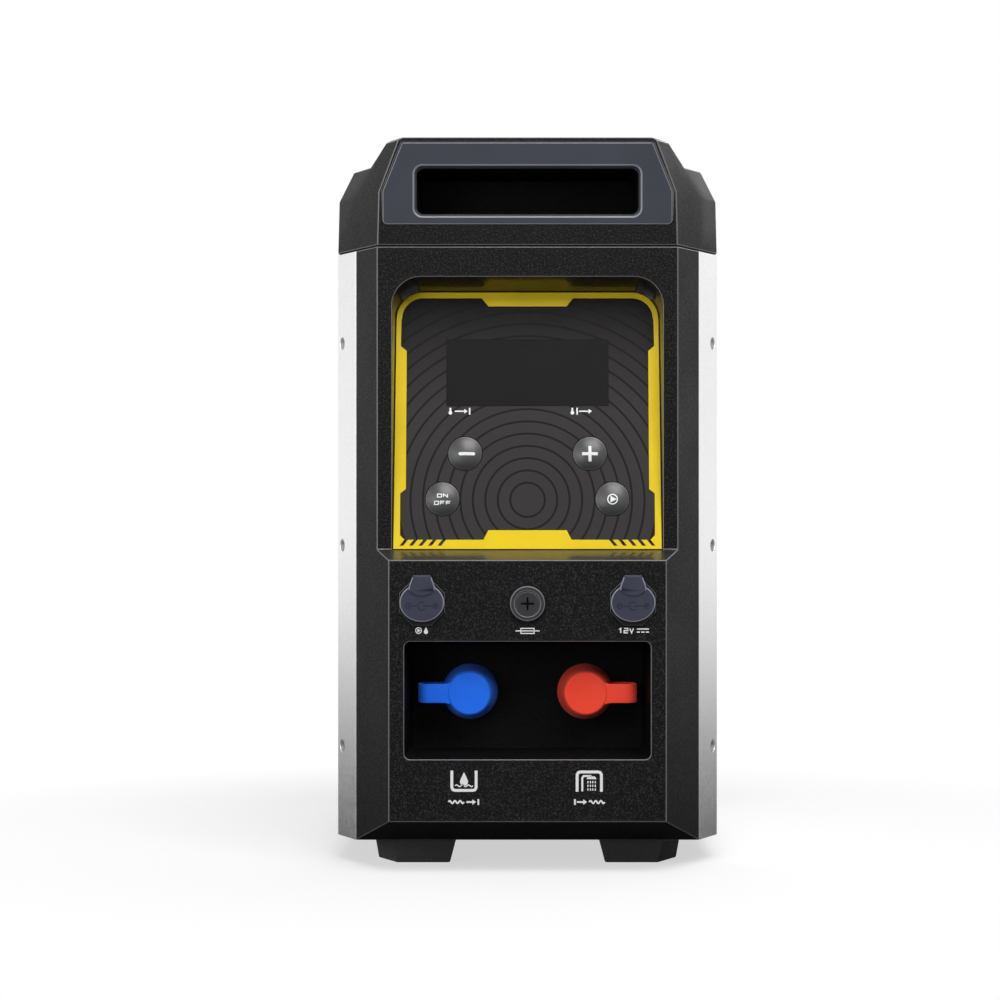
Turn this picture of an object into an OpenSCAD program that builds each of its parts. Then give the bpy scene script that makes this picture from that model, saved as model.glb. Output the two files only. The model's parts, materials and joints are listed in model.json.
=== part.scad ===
// Portable propane water heater: a gas cabinet with chamfered corners, a control panel, a recess for the
// water connections, a carrying grip at each end and the burner, heat exchanger and blower inside.
// Millimetres. X runs to the right as seen from the front, the front faces -Y, Z is up, the floor is Z = 0.

/* [Cabinet] */
// Width across the metal side panels
cabinet_w = 204; // [190:1:245]
// Depth from the lower front face to the rear face
cabinet_d = 388; // [370:1:466]
// Height of the underside above the floor
foot_h = 12.9; // [9:0.1:20]
// Height of the lower face, from the underside to the front edge of the sill
lower_face_h = 149.1; // [145:0.1:180]
// Height from the sill's front edge to the seam of the top cover
upper_face_h = 162.8; // [150:0.1:196]
// Height of the top cover's flat roof above its seam
roof_h = 44.5; // [40:0.1:52]
// Height of the end grips above the roof
grip_rise = 12.4; // [8:0.1:16]
// Length along Y of the chamfer at each corner
chamfer_len = 67.5; // [60:0.5:72]
// Sideways run of the chamfer at each corner
chamfer_in = 30.4; // [24:0.1:33]
// Length along Y of each plastic end cover
cover_len = 43; // [40:0.5:52]
// How far the lower face stands out in front of the upper face
step_d = 15; // [10:0.5:20]
// Rise of the sill between the two faces
sill_rise = 5.3; // [2:0.1:8]
// Rise of the bevel under each end cover
bevel_rise = 14.3; // [8:0.1:18]

/* [Shell] */
// Wall of the plastic covers
wall = 2.5; // [1.8:0.1:3.2]
// Thickness of the side panels' sheet
sheet = 1; // [0.6:0.1:1.5]
// Thickness of the base plate
base_t = 1.5; // [1:0.1:2.5]
// Clearance between neighbouring pieces that are fixed together
fit_gap = 0.2; // [0.1:0.05:0.4]
// Length of the cover's tongues behind the side panels
tongue_len = 23; // [20:0.5:26]
// Radius of the screw heads in the side panels
screw_r = 3.1; // [2.5:0.1:4]

/* [Top cover] */
// Half width of the grip's front face at its foot
grip_foot_margin = 0.2; // [0:0.1:1]
// Height of the shoulder's crease above the seam
crease_h = 28.6; // [24:0.1:32]
// Lean of the grip's sides, sideways per unit of height
grip_lean = 0.375; // [0.3:0.005:0.5]
// Sideways run of the roof's shoulder at the sides
shoulder_in = 8.8; // [6:0.1:12]
// Lean of the top cover's sides between the seam and the crease
cover_draft = 0.7; // [0:0.1:1.2]
// Height of the shadow gap round the seam
seam_gap = 0.8; // [0.4:0.1:1.2]
// Depth of the shadow gap round the seam
seam_groove_d = 1.2; // [0.6:0.1:1.5]
// Length along Y of the grip's level top
grip_top_len = 15; // [12:0.5:20]
// Length along Y over which the grip falls to the roof
grip_fall_len = 15; // [12:0.5:20]
// Half width of the finger pocket
pocket_hw = 57.7; // [48:0.1:60]
// Height of the finger pocket
pocket_h = 23.7; // [20:0.1:26]
// Height of the pocket's floor above the seam
pocket_z = 17.1; // [15:0.1:19]
// Depth of the finger pocket
pocket_d = 40; // [34:1:46]
// Thickness of the grip's trim
trim_t = 2; // [1.5:0.1:3]
// Chamfer round the pocket's mouth
lip = 1.5; // [0.5:0.1:2]
// Length of the exhaust grille along X
flue_grille_w = 132; // [110:1:140]
// Length of the exhaust grille along Y
flue_grille_d = 84; // [70:1:110]

/* [Control panel] */
// How far the panel leans back over its height
panel_lean = 20; // [14:0.5:22]
// Distance from the panel's top edge to the seam
panel_drop = 22.4; // [18:0.1:30]
// Distance from the top edge of the recess to the seam
recess_drop = 15.7; // [12:0.1:20]
// Margin from the recess to the upper face's edge
recess_margin = 8.4; // [7:0.1:12]
// Thickness of the control panel
panel_t = 1.6; // [1.2:0.1:2]
// Radius of the panel's top corners
panel_r = 14; // [8:0.5:18]
// Width of the panel frame's line
frame_line = 3; // [2:0.1:4]
// Height of the panel frame's bottom bar
frame_bar = 5; // [4:0.1:7]
// Thickness of the panel frame
frame_t = 0.6; // [0.4:0.1:1]
// Half width of the display window
window_hw = 42.5; // [36:0.5:46]
// Height of the display window
window_h = 35.6; // [30:0.1:38]
// Distance from the window's top edge to the panel's top edge
window_drop = 25.3; // [20:0.1:28]
// Radius of the push buttons
button_r = 8.8; // [7:0.1:10]
// Travel of the push buttons
button_travel = 1.2; // [0.6:0.1:1.6]
// Height of the button's dome above the panel
button_dome = 2.4; // [1.8:0.1:3]
// Sideways place of the upper pair of buttons
upper_button_x = 32.6; // [28:0.1:36]
// Sideways place of the lower pair of buttons
lower_button_x = 44.3; // [40:0.1:46]
// Height of the upper pair of buttons up the panel
upper_button_v = 50.5; // [48:0.1:54]
// Height of the lower pair of buttons up the panel
lower_button_v = 26.5; // [22:0.1:28]

/* [Front sockets] */
// Height of the round sockets below the sill's front edge
socket_drop = 21.8; // [19:0.1:24]
// Distance of the socket covers from the front face's edge
socket_margin = 17.3; // [16:0.1:20]
// Half width of the oval socket covers
socket_cover_r = 11.5; // [10:0.1:13]
// Half height of the oval socket covers
socket_cover_hh = 9.9; // [9:0.1:11.5]
// Thickness of the socket covers
socket_cover_t = 2.5; // [2:0.1:3.5]
// Thickness of the socket's flange on the face
socket_flange_t = 1.2; // [0.8:0.1:2]
// Bore of the socket's barrel
socket_bore_r = 5.5; // [5.2:0.1:6.5]
// Depth of the sockets behind the face
socket_len = 18; // [14:0.5:22]
// Radius of the fuse holder's collar
fuse_collar_r = 9.06; // [8:0.01:10]
// Radius of the fuse cap
fuse_cap_r = 6.2; // [5.4:0.1:6.6]
// Height of the fuse holder below the sill's front edge
fuse_drop = 22.3; // [21:0.1:25]
// Length of the fuse
fuse_len = 30; // [20:1:32]

/* [Water connections] */
// Margin from the connection recess to the front face's edge
well_margin = 8.1; // [6:0.1:10]
// Height of the recess's lower edge above the underside
well_z = 46.5; // [40:0.1:50]
// Height of the recess
well_h = 60.6; // [56:0.1:64]
// Depth of the recess
well_d = 38; // [34:0.5:42]
// Draft of the recess, inwards over its depth
well_draft = 2.8; // [1:0.1:4]
// Half of the distance between the two water connections
port_x = 30.3; // [26:0.1:32]
// Height of the water connections above the recess's lower edge
port_rise = 32.7; // [29:0.1:34]
// Radius of the connections' pipe thread
thread_r = 10.48; // [8.3:0.01:10.48]
// Length of the pipe thread
thread_len = 10; // [8:0.5:11]
// Radius of the collar that a cap grips
collar_r = 12; // [11.8:0.1:12.4]
// Length of that collar
collar_len = 3; // [2:0.1:4]
// Radius of a cap at its foot
cap_foot_r = 14.6; // [14.2:0.1:16]
// Radius of a cap at its front
cap_front_r = 11.3; // [10.6:0.1:12.4]
// Length of a cap
cap_len = 21; // [20:0.5:24]
// Width of a cap's strap
strap_w = 10; // [8:0.5:12]
// Thickness of a cap's strap
strap_t = 2; // [1.5:0.1:2.5]

/* [Gas connection] */
// Half width of the gas recess in the rear cover
gas_well_hw = 32; // [26:1:36]
// Height of the gas recess
gas_well_h = 52; // [44:1:56]
// Depth of the gas recess
gas_well_d = 30; // [24:1:34]
// Radius of the gas fitting's flare thread
gas_thread_r = 7.94; // [6.3:0.01:7.94]
// Length of the flare thread
gas_thread_len = 19; // [14:1:22]

/* [Inner parts] */
// Clear space between the combustion chamber and the side panels' outside
stack_margin = 27; // [25:0.5:30]
// Depth of the combustion chamber
stack_d = 110; // [100:1:130]
// Distance of the stack's middle behind the cabinet's middle
stack_y = 10; // [0:1:15]
// Height of the burner box's bottom above the base plate
burner_z = 60; // [58:1:66]
// Height of the burner box
burner_h = 38; // [34:1:44]
// Height of the combustion chamber
chamber_h = 100; // [80:1:104]
// Height of the heat exchanger
exchanger_h = 60; // [54:1:66]
// Number of burner bars
burner_bars = 7; // [5:1:7]
// Number of fins in the heat exchanger
fins = 19; // [11:2:21]
// Radius of the water tubes
tube_r = 6; // [5:0.5:6.5]
// Radius of the blower's wheel
wheel_r = 22; // [18:0.5:23]
// Number of blades on the blower's wheel
blades = 18; // [12:1:24]

/* [Hidden] */
$fn = 64;
eps = 0.01;

half_w = cabinet_w / 2;
half_d = cabinet_d / 2;
chamfer_y = half_d - chamfer_len;
slope = chamfer_in / chamfer_len;
skew = sqrt(1 + slope * slope);
chamfer_angle = atan(slope);
seam_y = half_d - cover_len;
upper_y = half_d - step_d;
face_hw = half_w - chamfer_in;
upper_hw = half_w - (upper_y - chamfer_y) * slope;

sill_z = foot_h + lower_face_h;
sill_back_z = sill_z + sill_rise;
seam_z = sill_z + upper_face_h;
roof_z = seam_z + roof_h;
grip_z = roof_z + grip_rise;
base_z = foot_h + base_t;
crease_z = seam_z + crease_h;
grip_corner = [2.4, 1.2];
trim_margin = 2.8;
trim_low = 11.5;
trim_drop = 2.6;

// The panel's plane, from its bottom edge on the sill to its top edge
panel_hw = upper_hw - recess_margin;
panel_top_z = seam_z - panel_drop;
panel_tilt = atan(panel_lean / (panel_top_z - sill_back_z));
panel_len = (panel_top_z - sill_back_z) / cos(panel_tilt);
button_gap = 0.4;
ledge = 0.25;
button_floor = panel_t + wall;
window_v = panel_len - window_drop - window_h / 2;

socket_x = face_hw - socket_margin;
socket_z = sill_z - socket_drop;
fuse_z = sill_z - fuse_drop;
cover_gap = 0.3;
socket_hinge = 13;
socket_flange_r = 12.7;
tab_rise = 0.6;
tab_hw = 6.6;
tab_top_hw = 5;
tab_turn = 8.7;
tab_foot_r = 8.9;
socket_proud = socket_flange_t + cover_gap + socket_cover_t;

well_hw = face_hw - well_margin;
well_low = foot_h + well_z;
well_back_y = half_d - well_d;
port_z = well_low + port_rise;
port_end_y = well_back_y + collar_len + thread_len;

stack_w = cabinet_w - 2 * stack_margin;
burner_low = base_z + burner_z;
chamber_low = burner_low + burner_h;
exchanger_low = chamber_low + chamber_h;
exchanger_high = exchanger_low + exchanger_h;
tube_z = exchanger_low + exchanger_h / 2;
tube_pitch = stack_d / 5.5;
side_pipe_x = half_w - 14;
metal = 1.2;
intake_w = 2 * (panel_hw - 8);
intake_h = 96;
intake_z = (sill_back_z + seam_z) / 2;
sensor_y0 = -well_back_y + 14;
sensor_len = 40;
manifold_y = stack_y + stack_d / 2 + 14;
manifold_z = burner_low + 9;
fan_out_x = 14;
fan_z = base_z + 31;
fan_half = 18;
electrode_x = 22;
electrode_z = chamber_low + 12;

plastic = [0.11, 0.11, 0.11];
plastic_soft = [0.2, 0.2, 0.21];
steel = [0.72, 0.72, 0.73];
copper = [0.72, 0.42, 0.28];
brass = [0.75, 0.62, 0.32];
zinc = [0.6, 0.61, 0.62];

// ---------- shared shapes ----------

// Half width of the cabinet at y, moved in by inset
function half_width(y, inset = 0) =
    min(half_w - inset, half_w - (abs(y) - chamfer_y) * slope - inset * skew);

// Place along Y where the inset outline turns from its straight side to its chamfer
function turn_y(inset) = chamfer_y - inset * (skew - 1) / slope;

// Outline of the cabinet seen from above, between two places along Y
module plan(inset, y0, y1) {
    ys = concat(
        [y0],
        y0 < -turn_y(inset) && y1 > -turn_y(inset) ? [-turn_y(inset)] : [],
        y0 < turn_y(inset) && y1 > turn_y(inset) ? [turn_y(inset)] : [],
        [y1]
    );
    right = [for (y = ys) [half_width(y, inset), y]];
    left = [for (i = [len(ys) - 1:-1:0]) [-half_width(ys[i], inset), ys[i]]];
    polygon(concat(right, left));
}

// Sheet of the wall alone, between two insets
module plan_wall(inset, t, y0, y1) {
    difference() {
        plan(inset, y0, y1);
        plan(inset + t, y0 - 1, y1 + 1);
    }
}

// Extrudes an outline drawn in Y and Z sideways, centred on X = 0
module along_x(w) {
    rotate([90, 0, 90]) linear_extrude(w, center = true) children();
}

// Extrudes an outline drawn in X and Z along Y, from y0 to y1
module along_y(y0, y1) {
    translate([0, y1, 0]) rotate([90, 0, 0]) linear_extrude(y1 - y0) children();
}

// Cylinder along Y from y0 to y1
module rod_y(r, y0, y1) {
    translate([0, y0, 0]) rotate([-90, 0, 0]) cylinder(r = r, h = y1 - y0);
}

// Rectangle with round corners, centred on X = 0, from z0 to z1
module round_rect(hw, z0, z1, r) {
    translate([-hw + r, z0]) square([2 * (hw - r), z1 - z0]);
    translate([-hw, z0 + r]) square([2 * hw, z1 - z0 - 2 * r]);
    for (x = [-hw + r, hw - r])
        for (z = [z0 + r, z1 - r])
            translate([x, z]) circle(r);
}

// Outline whose two top corners are round and whose sides lean in by draft
module arch(hw, h, r, draft) {
    intersection() {
        polygon([[-hw, 0], [hw, 0], [hw - draft, h], [-hw + draft, h]]);
        union() {
            translate([-hw, -eps]) square([2 * hw, h - r]);
            translate([-hw + r, 0]) square([2 * (hw - r), h]);
            for (x = [-1, 1])
                translate([x * (hw - draft - r), h - r]) circle(r);
        }
    }
}

// Puts what is drawn in the panel's plane, X across and Y up the slope, in its place
module on_panel() {
    translate([0, -upper_y, sill_back_z]) rotate([90 - panel_tilt, 0, 0]) children();
}

// Round tube through the given points, with ball corners
module tube(points, r) {
    for (i = [0:len(points) - 2])
        link(points[i], points[i + 1], r);
    for (i = [1:len(points) - 2])
        translate(points[i]) sphere(r);
}

// One straight length of tube
module link(a, b, r) {
    v = b - a;
    l = norm(v);
    translate(a) rotate([0, acos(v[2] / l), atan2(v[1], v[0])]) cylinder(r = r, h = l);
}

// ---------- covers ----------

// Outline of an end cover in Y and Z, moved in by t on its outer sides; the front is at -Y
module end_outline(t) {
    bevel = bevel_rise / cover_len;
    rise = sill_rise / step_d;
    low = t * sqrt(1 + bevel * bevel);
    drop = t * sqrt(1 + rise * rise);
    open = t > 0 ? 1 : 0;
    polygon([
        [-seam_y + open, foot_h + low - open * bevel],
        [-seam_y + open, seam_z - t],
        [-upper_y + t, seam_z - t],
        [-upper_y + t, sill_back_z + t * rise - drop],
        [-half_d + t, sill_z + t * rise - drop],
        [-half_d + t, foot_h + bevel_rise - t * bevel + low]
    ]);
}

// Solid of an end cover, moved in by t
module end_block(t) {
    intersection() {
        along_x(cabinet_w + 2) end_outline(t);
        translate([0, 0, foot_h - 1]) linear_extrude(seam_z - foot_h + 2)
            plan(t, -half_d, t > 0 ? -seam_y + 2 : -seam_y);
    }
}

// Tongues that reach behind the side panels and take their screws
module tongues() {
    difference() {
        translate([0, 0, foot_h + 8]) linear_extrude(seam_z - foot_h - 12)
            plan_wall(sheet + fit_gap, wall, -seam_y - wall, -seam_y + tongue_len);
        screw_places() cylinder(r = 1.6, h = 20, center = true);
        translate([0, 0, 0]) cube([cabinet_w - 60, cabinet_d, 2 * grip_z], center = true);
    }
}

// Heights of the side screws
function screw_heights() = [foot_h + 48.2, foot_h + 155.7, seam_z - 47.9];

// The front pairs of side screws; Z runs outwards, square to the chamfer's face
module screw_places() {
    y = -chamfer_y - 6;
    for (s = [-1, 1])
        for (z = screw_heights())
            translate([s * half_width(y), y, z]) rotate([0, 90, s > 0 ? -chamfer_angle : 180 + chamfer_angle])
                children();
}

// Space in front of the control panel
module panel_recess() {
    hull() {
        along_y(-upper_y - 1, -upper_y) translate([0, sill_back_z])
            arch(panel_hw + 2 * ledge, seam_z - recess_drop - sill_back_z, panel_r + 1, 0, $fn = 32);
        on_panel() linear_extrude(0.4)
            arch(panel_hw + ledge, panel_len + ledge, panel_r + ledge, 1, $fn = 32);
    }
}

// Space round the water connections, with its draft
module well() {
    back_low = well_low + well_draft;
    back_high = well_low + well_h - well_draft;
    hull() {
        along_y(-half_d - 1, -half_d) round_rect(well_hw, well_low, well_low + well_h, 3, $fn = 32);
        along_y(-well_back_y - eps, -well_back_y)
            round_rect(well_hw - well_draft, back_low, back_high, 3, $fn = 32);
    }
}

// Where the buttons sit on the panel: X, height up the panel
function button_places() = [
    [-upper_button_x, upper_button_v],
    [upper_button_x, upper_button_v],
    [-lower_button_x, lower_button_v],
    [lower_button_x, lower_button_v]
];

module front_cover() {
    color(plastic) difference() {
        union() {
            difference() {
                end_block(0);
                end_block(wall);
            }
            intersection() {
                end_block(0);
                on_panel() translate([-panel_hw - wall, -wall, -panel_t - wall])
                    cube([2 * (panel_hw + wall), panel_len + 12, 40]);
            }
            intersection() {
                end_block(0);
                translate([-well_hw - wall, -half_d, well_low - wall])
                    cube([2 * (well_hw + wall), well_d + wall, well_h + 2 * wall]);
            }
            tongues();
        }
        panel_recess();
        on_panel() translate([0, 0, -panel_t]) linear_extrude(panel_t + 1)
            arch(panel_hw, panel_len, panel_r, 1);
        on_panel() translate([0, window_v, -panel_t - wall - 1])
            linear_extrude(wall + 2) square([2 * window_hw - 6, window_h - 6], center = true);
        on_panel() for (p = button_places())
            translate([p[0], p[1], -button_floor - 1]) cylinder(r = button_r + button_gap, h = wall + 2);
        well();
        for (s = [-1, 1]) {
            translate([s * port_x, 0, port_z])
                rod_y(collar_r + fit_gap, -well_back_y - 1, -well_back_y + wall + 1);
            translate([s * socket_x, 0, socket_z])
                rod_y(socket_bore_r + 2.2, -half_d - 1, -half_d + wall + 1);
        }
        translate([0, 0, fuse_z]) rod_y(fuse_cap_r + 1.2, -half_d - 1, -half_d + wall + 1);
    }
}

// The rear cover has the front one's outline, with a recess for the gas fitting and an air intake
module rear_cover() {
    color(plastic) rotate([0, 0, 180]) difference() {
        union() {
            difference() {
                end_block(0);
                end_block(wall);
            }
            intersection() {
                end_block(0);
                translate([-gas_well_hw - wall, -half_d, port_z - gas_well_h / 2 - wall])
                    cube([2 * (gas_well_hw + wall), gas_well_d + wall, gas_well_h + 2 * wall]);
            }
            tongues();
        }
        along_y(-half_d - 1, -half_d + gas_well_d)
            round_rect(gas_well_hw, port_z - gas_well_h / 2, port_z + gas_well_h / 2, 4);
        translate([0, 0, port_z])
            rod_y(gas_thread_r + 1.2, -half_d + gas_well_d - 1, -half_d + gas_well_d + wall + 1);
        translate([0, 0, intake_z]) along_y(-upper_y - 1, -upper_y + wall + 1)
            square([intake_w - 12, intake_h - 12], center = true);
        translate([0, 0, intake_z]) along_y(-upper_y - 1, -upper_y + metal)
            square([intake_w + 2 * fit_gap, intake_h + 2 * fit_gap], center = true);
    }
}

// Outline of a grip across the cabinet, widened by grow
module grip_outline(grow) {
    foot = upper_hw - grip_foot_margin + grow;
    crease = foot - cover_draft;
    shoulder = crease - (grip_z - grip_corner[1] - crease_z) * grip_lean;
    side = [
        [foot, seam_z], [crease, crease_z],
        [shoulder, grip_z - grip_corner[1]], [shoulder - grip_corner[0], grip_z]
    ];
    polygon(concat(side, [for (i = [3:-1:0]) [-side[i][0], side[i][1]]]));
}

// Outline of the roof across the cabinet at y, moved in by t
module roof_outline(y, t) {
    side = half_width(y) - t;
    low = seam_z - (t > 0 ? 1 : 0);
    polygon([
        [-side, low], [side, low], [side - cover_draft, crease_z - t / 2],
        [side - shoulder_in, roof_z - t], [-side + shoulder_in, roof_z - t],
        [-side + cover_draft, crease_z - t / 2]
    ]);
}

// Grip and the sloped shoulders behind it, at the front
module grip_block() {
    level_y = upper_y - grip_top_len;
    fall_y = level_y - grip_fall_len;
    hull() {
        along_y(-upper_y, -upper_y + eps) grip_outline(0);
        along_y(-level_y, -level_y + eps) grip_outline(grip_top_len * slope);
    }
    hull() {
        along_y(-level_y, -level_y + eps) grip_outline(grip_top_len * slope);
        along_y(-fall_y - eps, -fall_y) roof_outline(fall_y, 0);
    }
    hull() {
        along_y(-fall_y - eps, -fall_y) roof_outline(fall_y, 0);
        along_y(-chamfer_y, -chamfer_y + eps) roof_outline(chamfer_y, 0);
    }
}

// Space of the finger pocket at the front
module pocket() {
    z0 = seam_z + pocket_z;
    hull() {
        along_y(-upper_y - 1, -upper_y) round_rect(pocket_hw, z0, z0 + pocket_h, 3.5, $fn = 32);
        along_y(-upper_y + pocket_d - eps, -upper_y + pocket_d)
            round_rect(pocket_hw - 1.5, z0 + 1.5, z0 + pocket_h - 2.5, 3.5, $fn = 32);
    }
}

// Outline of a grip's trim
module trim_outline(grow) {
    foot = upper_hw - trim_margin + grow;
    z0 = seam_z + trim_low - grow;
    z1 = grip_z - trim_drop + grow;
    crease = crease_z + 0.3;
    lean = (z1 - crease) * grip_lean + cover_draft;
    difference() {
        polygon([
            [-foot, z0], [foot, z0], [foot, crease],
            [foot - lean, z1], [-foot + lean, z1], [-foot, crease]
        ]);
        for (s = [-1, 1])
            translate([s * foot, z0]) difference() {
                square([5, 5], center = true);
                translate([-s * 2.5, 2.5]) circle(2.5);
            }
    }
}

// Shadow gap that runs round the top cover's lower edge
module seam_groove() {
    end_y = upper_y - seam_groove_d;
    translate([0, 0, seam_z - 1]) linear_extrude(1 + seam_gap) difference() {
        plan(-2, -upper_y - 1, upper_y + 1);
        plan(seam_groove_d, -end_y, end_y);
    }
}

module top_cover() {
    z0 = seam_z + pocket_z;
    color(plastic) difference() {
        union() {
            grip_block();
            mirror([0, 1, 0]) grip_block();
            along_y(-chamfer_y, chamfer_y) roof_outline(0, 0);
        }
        seam_groove();
        difference() {
            union() {
                along_y(-chamfer_y, chamfer_y) roof_outline(0, wall);
                along_y(-seam_y + 4, seam_y - 4) roof_outline(seam_y - 4, wall);
                translate([0, 0, seam_z + 5])
                    cube([2 * (upper_hw - 8), 2 * (upper_y - wall), 10 + eps], center = true);
            }
            for (s = [-1, 1])
                translate([0, s * (upper_y - (pocket_d + wall) / 2), z0 + pocket_h / 2])
                    cube([2 * (pocket_hw + wall), pocket_d + wall, pocket_h + 2 * wall], center = true);
        }
        pocket();
        mirror([0, 1, 0]) pocket();
        for (s = [0, 180])
            rotate([0, 0, s]) along_y(-upper_y - 1, -upper_y + trim_t) trim_outline(fit_gap);
        translate([0, stack_y, roof_z])
            cube([flue_grille_w - 8, flue_grille_d - 8, 4 * wall], center = true);
        translate([0, stack_y, roof_z])
            cube([flue_grille_w + 2 * fit_gap, flue_grille_d + 2 * fit_gap, 2 * metal], center = true);
    }
}

module grip_trim(turn) {
    z0 = seam_z + pocket_z;
    color([0.27, 0.28, 0.31]) rotate([0, 0, turn]) difference() {
        along_y(-upper_y, -upper_y + trim_t) trim_outline(0);
        hull() {
            along_y(-upper_y - eps, -upper_y)
                round_rect(pocket_hw + lip, z0 - lip, z0 + pocket_h + lip, 4.5, $fn = 32);
            along_y(-upper_y + trim_t, -upper_y + trim_t + eps)
                round_rect(pocket_hw, z0, z0 + pocket_h, 3.5, $fn = 32);
        }
    }
}

module grip_trim_front() {
    grip_trim(0);
}

module grip_trim_rear() {
    grip_trim(180);
}

// ---------- metal cabinet ----------

module side_panel(s) {
    color(steel) difference() {
        translate([0, 0, foot_h]) linear_extrude(seam_z - foot_h)
            intersection() {
                plan_wall(0, sheet, -seam_y, seam_y);
                translate([s * cabinet_w / 2, 0]) square([cabinet_w - 60, cabinet_d], center = true);
            }
        for (turn = [0, 180])
            rotate([0, 0, turn]) screw_places() cylinder(r = screw_r + 0.1, h = 20, center = true);
    }
}

module side_panel_left() {
    side_panel(-1);
}

module side_panel_right() {
    side_panel(1);
}

// The 12 screws of the side panels, each a dished head with its shank in the tongue behind
module side_screws() {
    color(zinc) for (turn = [0, 180])
        rotate([0, 0, turn]) screw_places() {
            translate([0, 0, -sheet - fit_gap]) difference() {
                cylinder(r = screw_r, h = sheet + fit_gap - 0.2);
                translate([0, 0, sheet + fit_gap - 0.8]) cylinder(r1 = 1, r2 = screw_r - 0.6, h = 0.7);
            }
            translate([0, 0, -sheet - fit_gap - wall - 2]) cylinder(r = 1.5, h = wall + 2.2);
        }
}

module base_plate() {
    slot_pitch = 9;
    color(steel) difference() {
        translate([0, 0, foot_h]) linear_extrude(base_t) plan(sheet + fit_gap, -seam_y, seam_y);
        for (s = [-1, 1])
            for (i = [-4:4])
                translate([s * 52, stack_y + i * slot_pitch, foot_h - 1]) {
                    translate([0, 0, base_t / 2 + 1]) cube([32, 4, base_t + 2], center = true);
                    for (e = [-16, 16])
                        translate([e, 0, 0]) cylinder(r = 2, h = base_t + 2);
                }
    }
}

// A foot under the front right corner; its outer side runs with the chamfer
module foot() {
    y0 = -seam_y + 5;
    y1 = y0 + 60;
    turn = y0 + 22;
    inner = 37.9;
    outer = half_w - 19.7;
    front = outer - 22 * slope;
    color(plastic) hull() {
        translate([0, 0, foot_h - eps]) linear_extrude(eps)
            polygon([[inner, y0], [front, y0], [outer, turn], [outer, y1], [inner, y1]]);
        linear_extrude(eps)
            polygon([
                [inner + 3.4, y0 + 2], [front - 2.5, y0 + 2], [outer - 2.2, turn + 1],
                [outer - 2.2, y1 - 3], [inner + 3.4, y1 - 3]
            ]);
    }
}

module foot_front_right() {
    foot();
}

module foot_front_left() {
    mirror([1, 0, 0]) foot();
}

module foot_rear_right() {
    mirror([0, 1, 0]) foot();
}

module foot_rear_left() {
    rotate([0, 0, 180]) foot();
}

// Grille plate with rows of round-ended slots, drawn flat and centred
module slotted(w, d, t, slot, pitch, rows) {
    row_h = (d - 14) / rows;
    count = floor((w - 16) / pitch);
    difference() {
        translate([0, 0, t / 2]) cube([w, d, t], center = true);
        for (i = [0:count - 1])
            for (k = [0:rows - 1])
                translate([(i - (count - 1) / 2) * pitch, (k - (rows - 1) / 2) * row_h, -1]) {
                    translate([-slot / 2, -row_h / 2 + 4, 0]) cube([slot, row_h - 8, t + 2]);
                    for (e = [-1, 1])
                        translate([0, e * (row_h / 2 - 4), 0]) cylinder(r = slot / 2, h = t + 2, $fn = 24);
                }
    }
}

module exhaust_grille() {
    color(steel) translate([0, stack_y, roof_z - metal])
        slotted(flue_grille_w, flue_grille_d, metal, 4, 8, 2);
}

module intake_grille() {
    color(steel) translate([0, upper_y - metal, intake_z]) rotate([-90, 0, 0])
        slotted(intake_w, intake_h, metal, 3, 8, 2);
}

// ---------- control panel ----------

module control_panel() {
    color([0.25, 0.24, 0.25]) on_panel() translate([0, 0, -panel_t]) linear_extrude(panel_t) difference() {
        translate([0, fit_gap]) arch(panel_hw - fit_gap, panel_len - 2 * fit_gap, panel_r, 1);
        translate([0, window_v]) square([2 * window_hw, window_h], center = true);
        for (p = button_places())
            translate(p) circle(button_r + button_gap);
    }
}

// The yellow line round the panel: tabs top and bottom, stepped sides and a bar with slanted slots
module panel_frame() {
    hw = panel_hw - fit_gap;
    top = panel_len - fit_gap;
    inner = hw - frame_line;
    waist = panel_hw - 6.5;
    low = panel_hw - 3.6;
    foot = panel_hw - 6;
    high_step = panel_len - 30.5;
    slot_pitch = 4.94;
    top_tab = top - frame_line - 4.4;
    color([0.93, 0.82, 0.15]) on_panel() linear_extrude(frame_t) difference() {
        translate([0, fit_gap]) arch(hw, top - fit_gap, panel_r, 1);
        difference() {
            union() {
                translate([0, high_step + 1.6 - eps])
                    arch(inner - 0.2, top - frame_line - high_step - 1.6, panel_r - frame_line, 0.6);
                polygon([
                    [-foot, frame_bar], [foot, frame_bar], [low, frame_bar + 2.4], [low, 29.4], [waist, 31.7],
                    [waist, high_step - 1], [inner - 0.2, high_step + 1.6], [-inner + 0.2, high_step + 1.6],
                    [-waist, high_step - 1], [-waist, 31.7], [-low, 29.4], [-low, frame_bar + 2.4]
                ]);
            }
            polygon([[-25.4, 0], [25.4, 0], [20.4, 2 * frame_bar], [-20.4, 2 * frame_bar]]);
            polygon([[-26.6, top], [26.6, top], [20.5, top_tab], [-20.5, top_tab]]);
        }
        for (s = [-1, 1])
            for (i = [0:4])
                scale([s, 1])
                    translate([panel_hw - 3.3 - i * slot_pitch, 0]) polygon([
                        [-2, 1.85], [0, 1.85], [-2.55, frame_bar + eps], [-4.55, frame_bar + eps]
                    ]);
    }
}

module display_window() {
    color([0.13, 0.13, 0.13]) on_panel() translate([0, window_v, -panel_t])
        linear_extrude(panel_t) square([2 * (window_hw - 0.1), window_h - 0.2], center = true);
}

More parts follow.
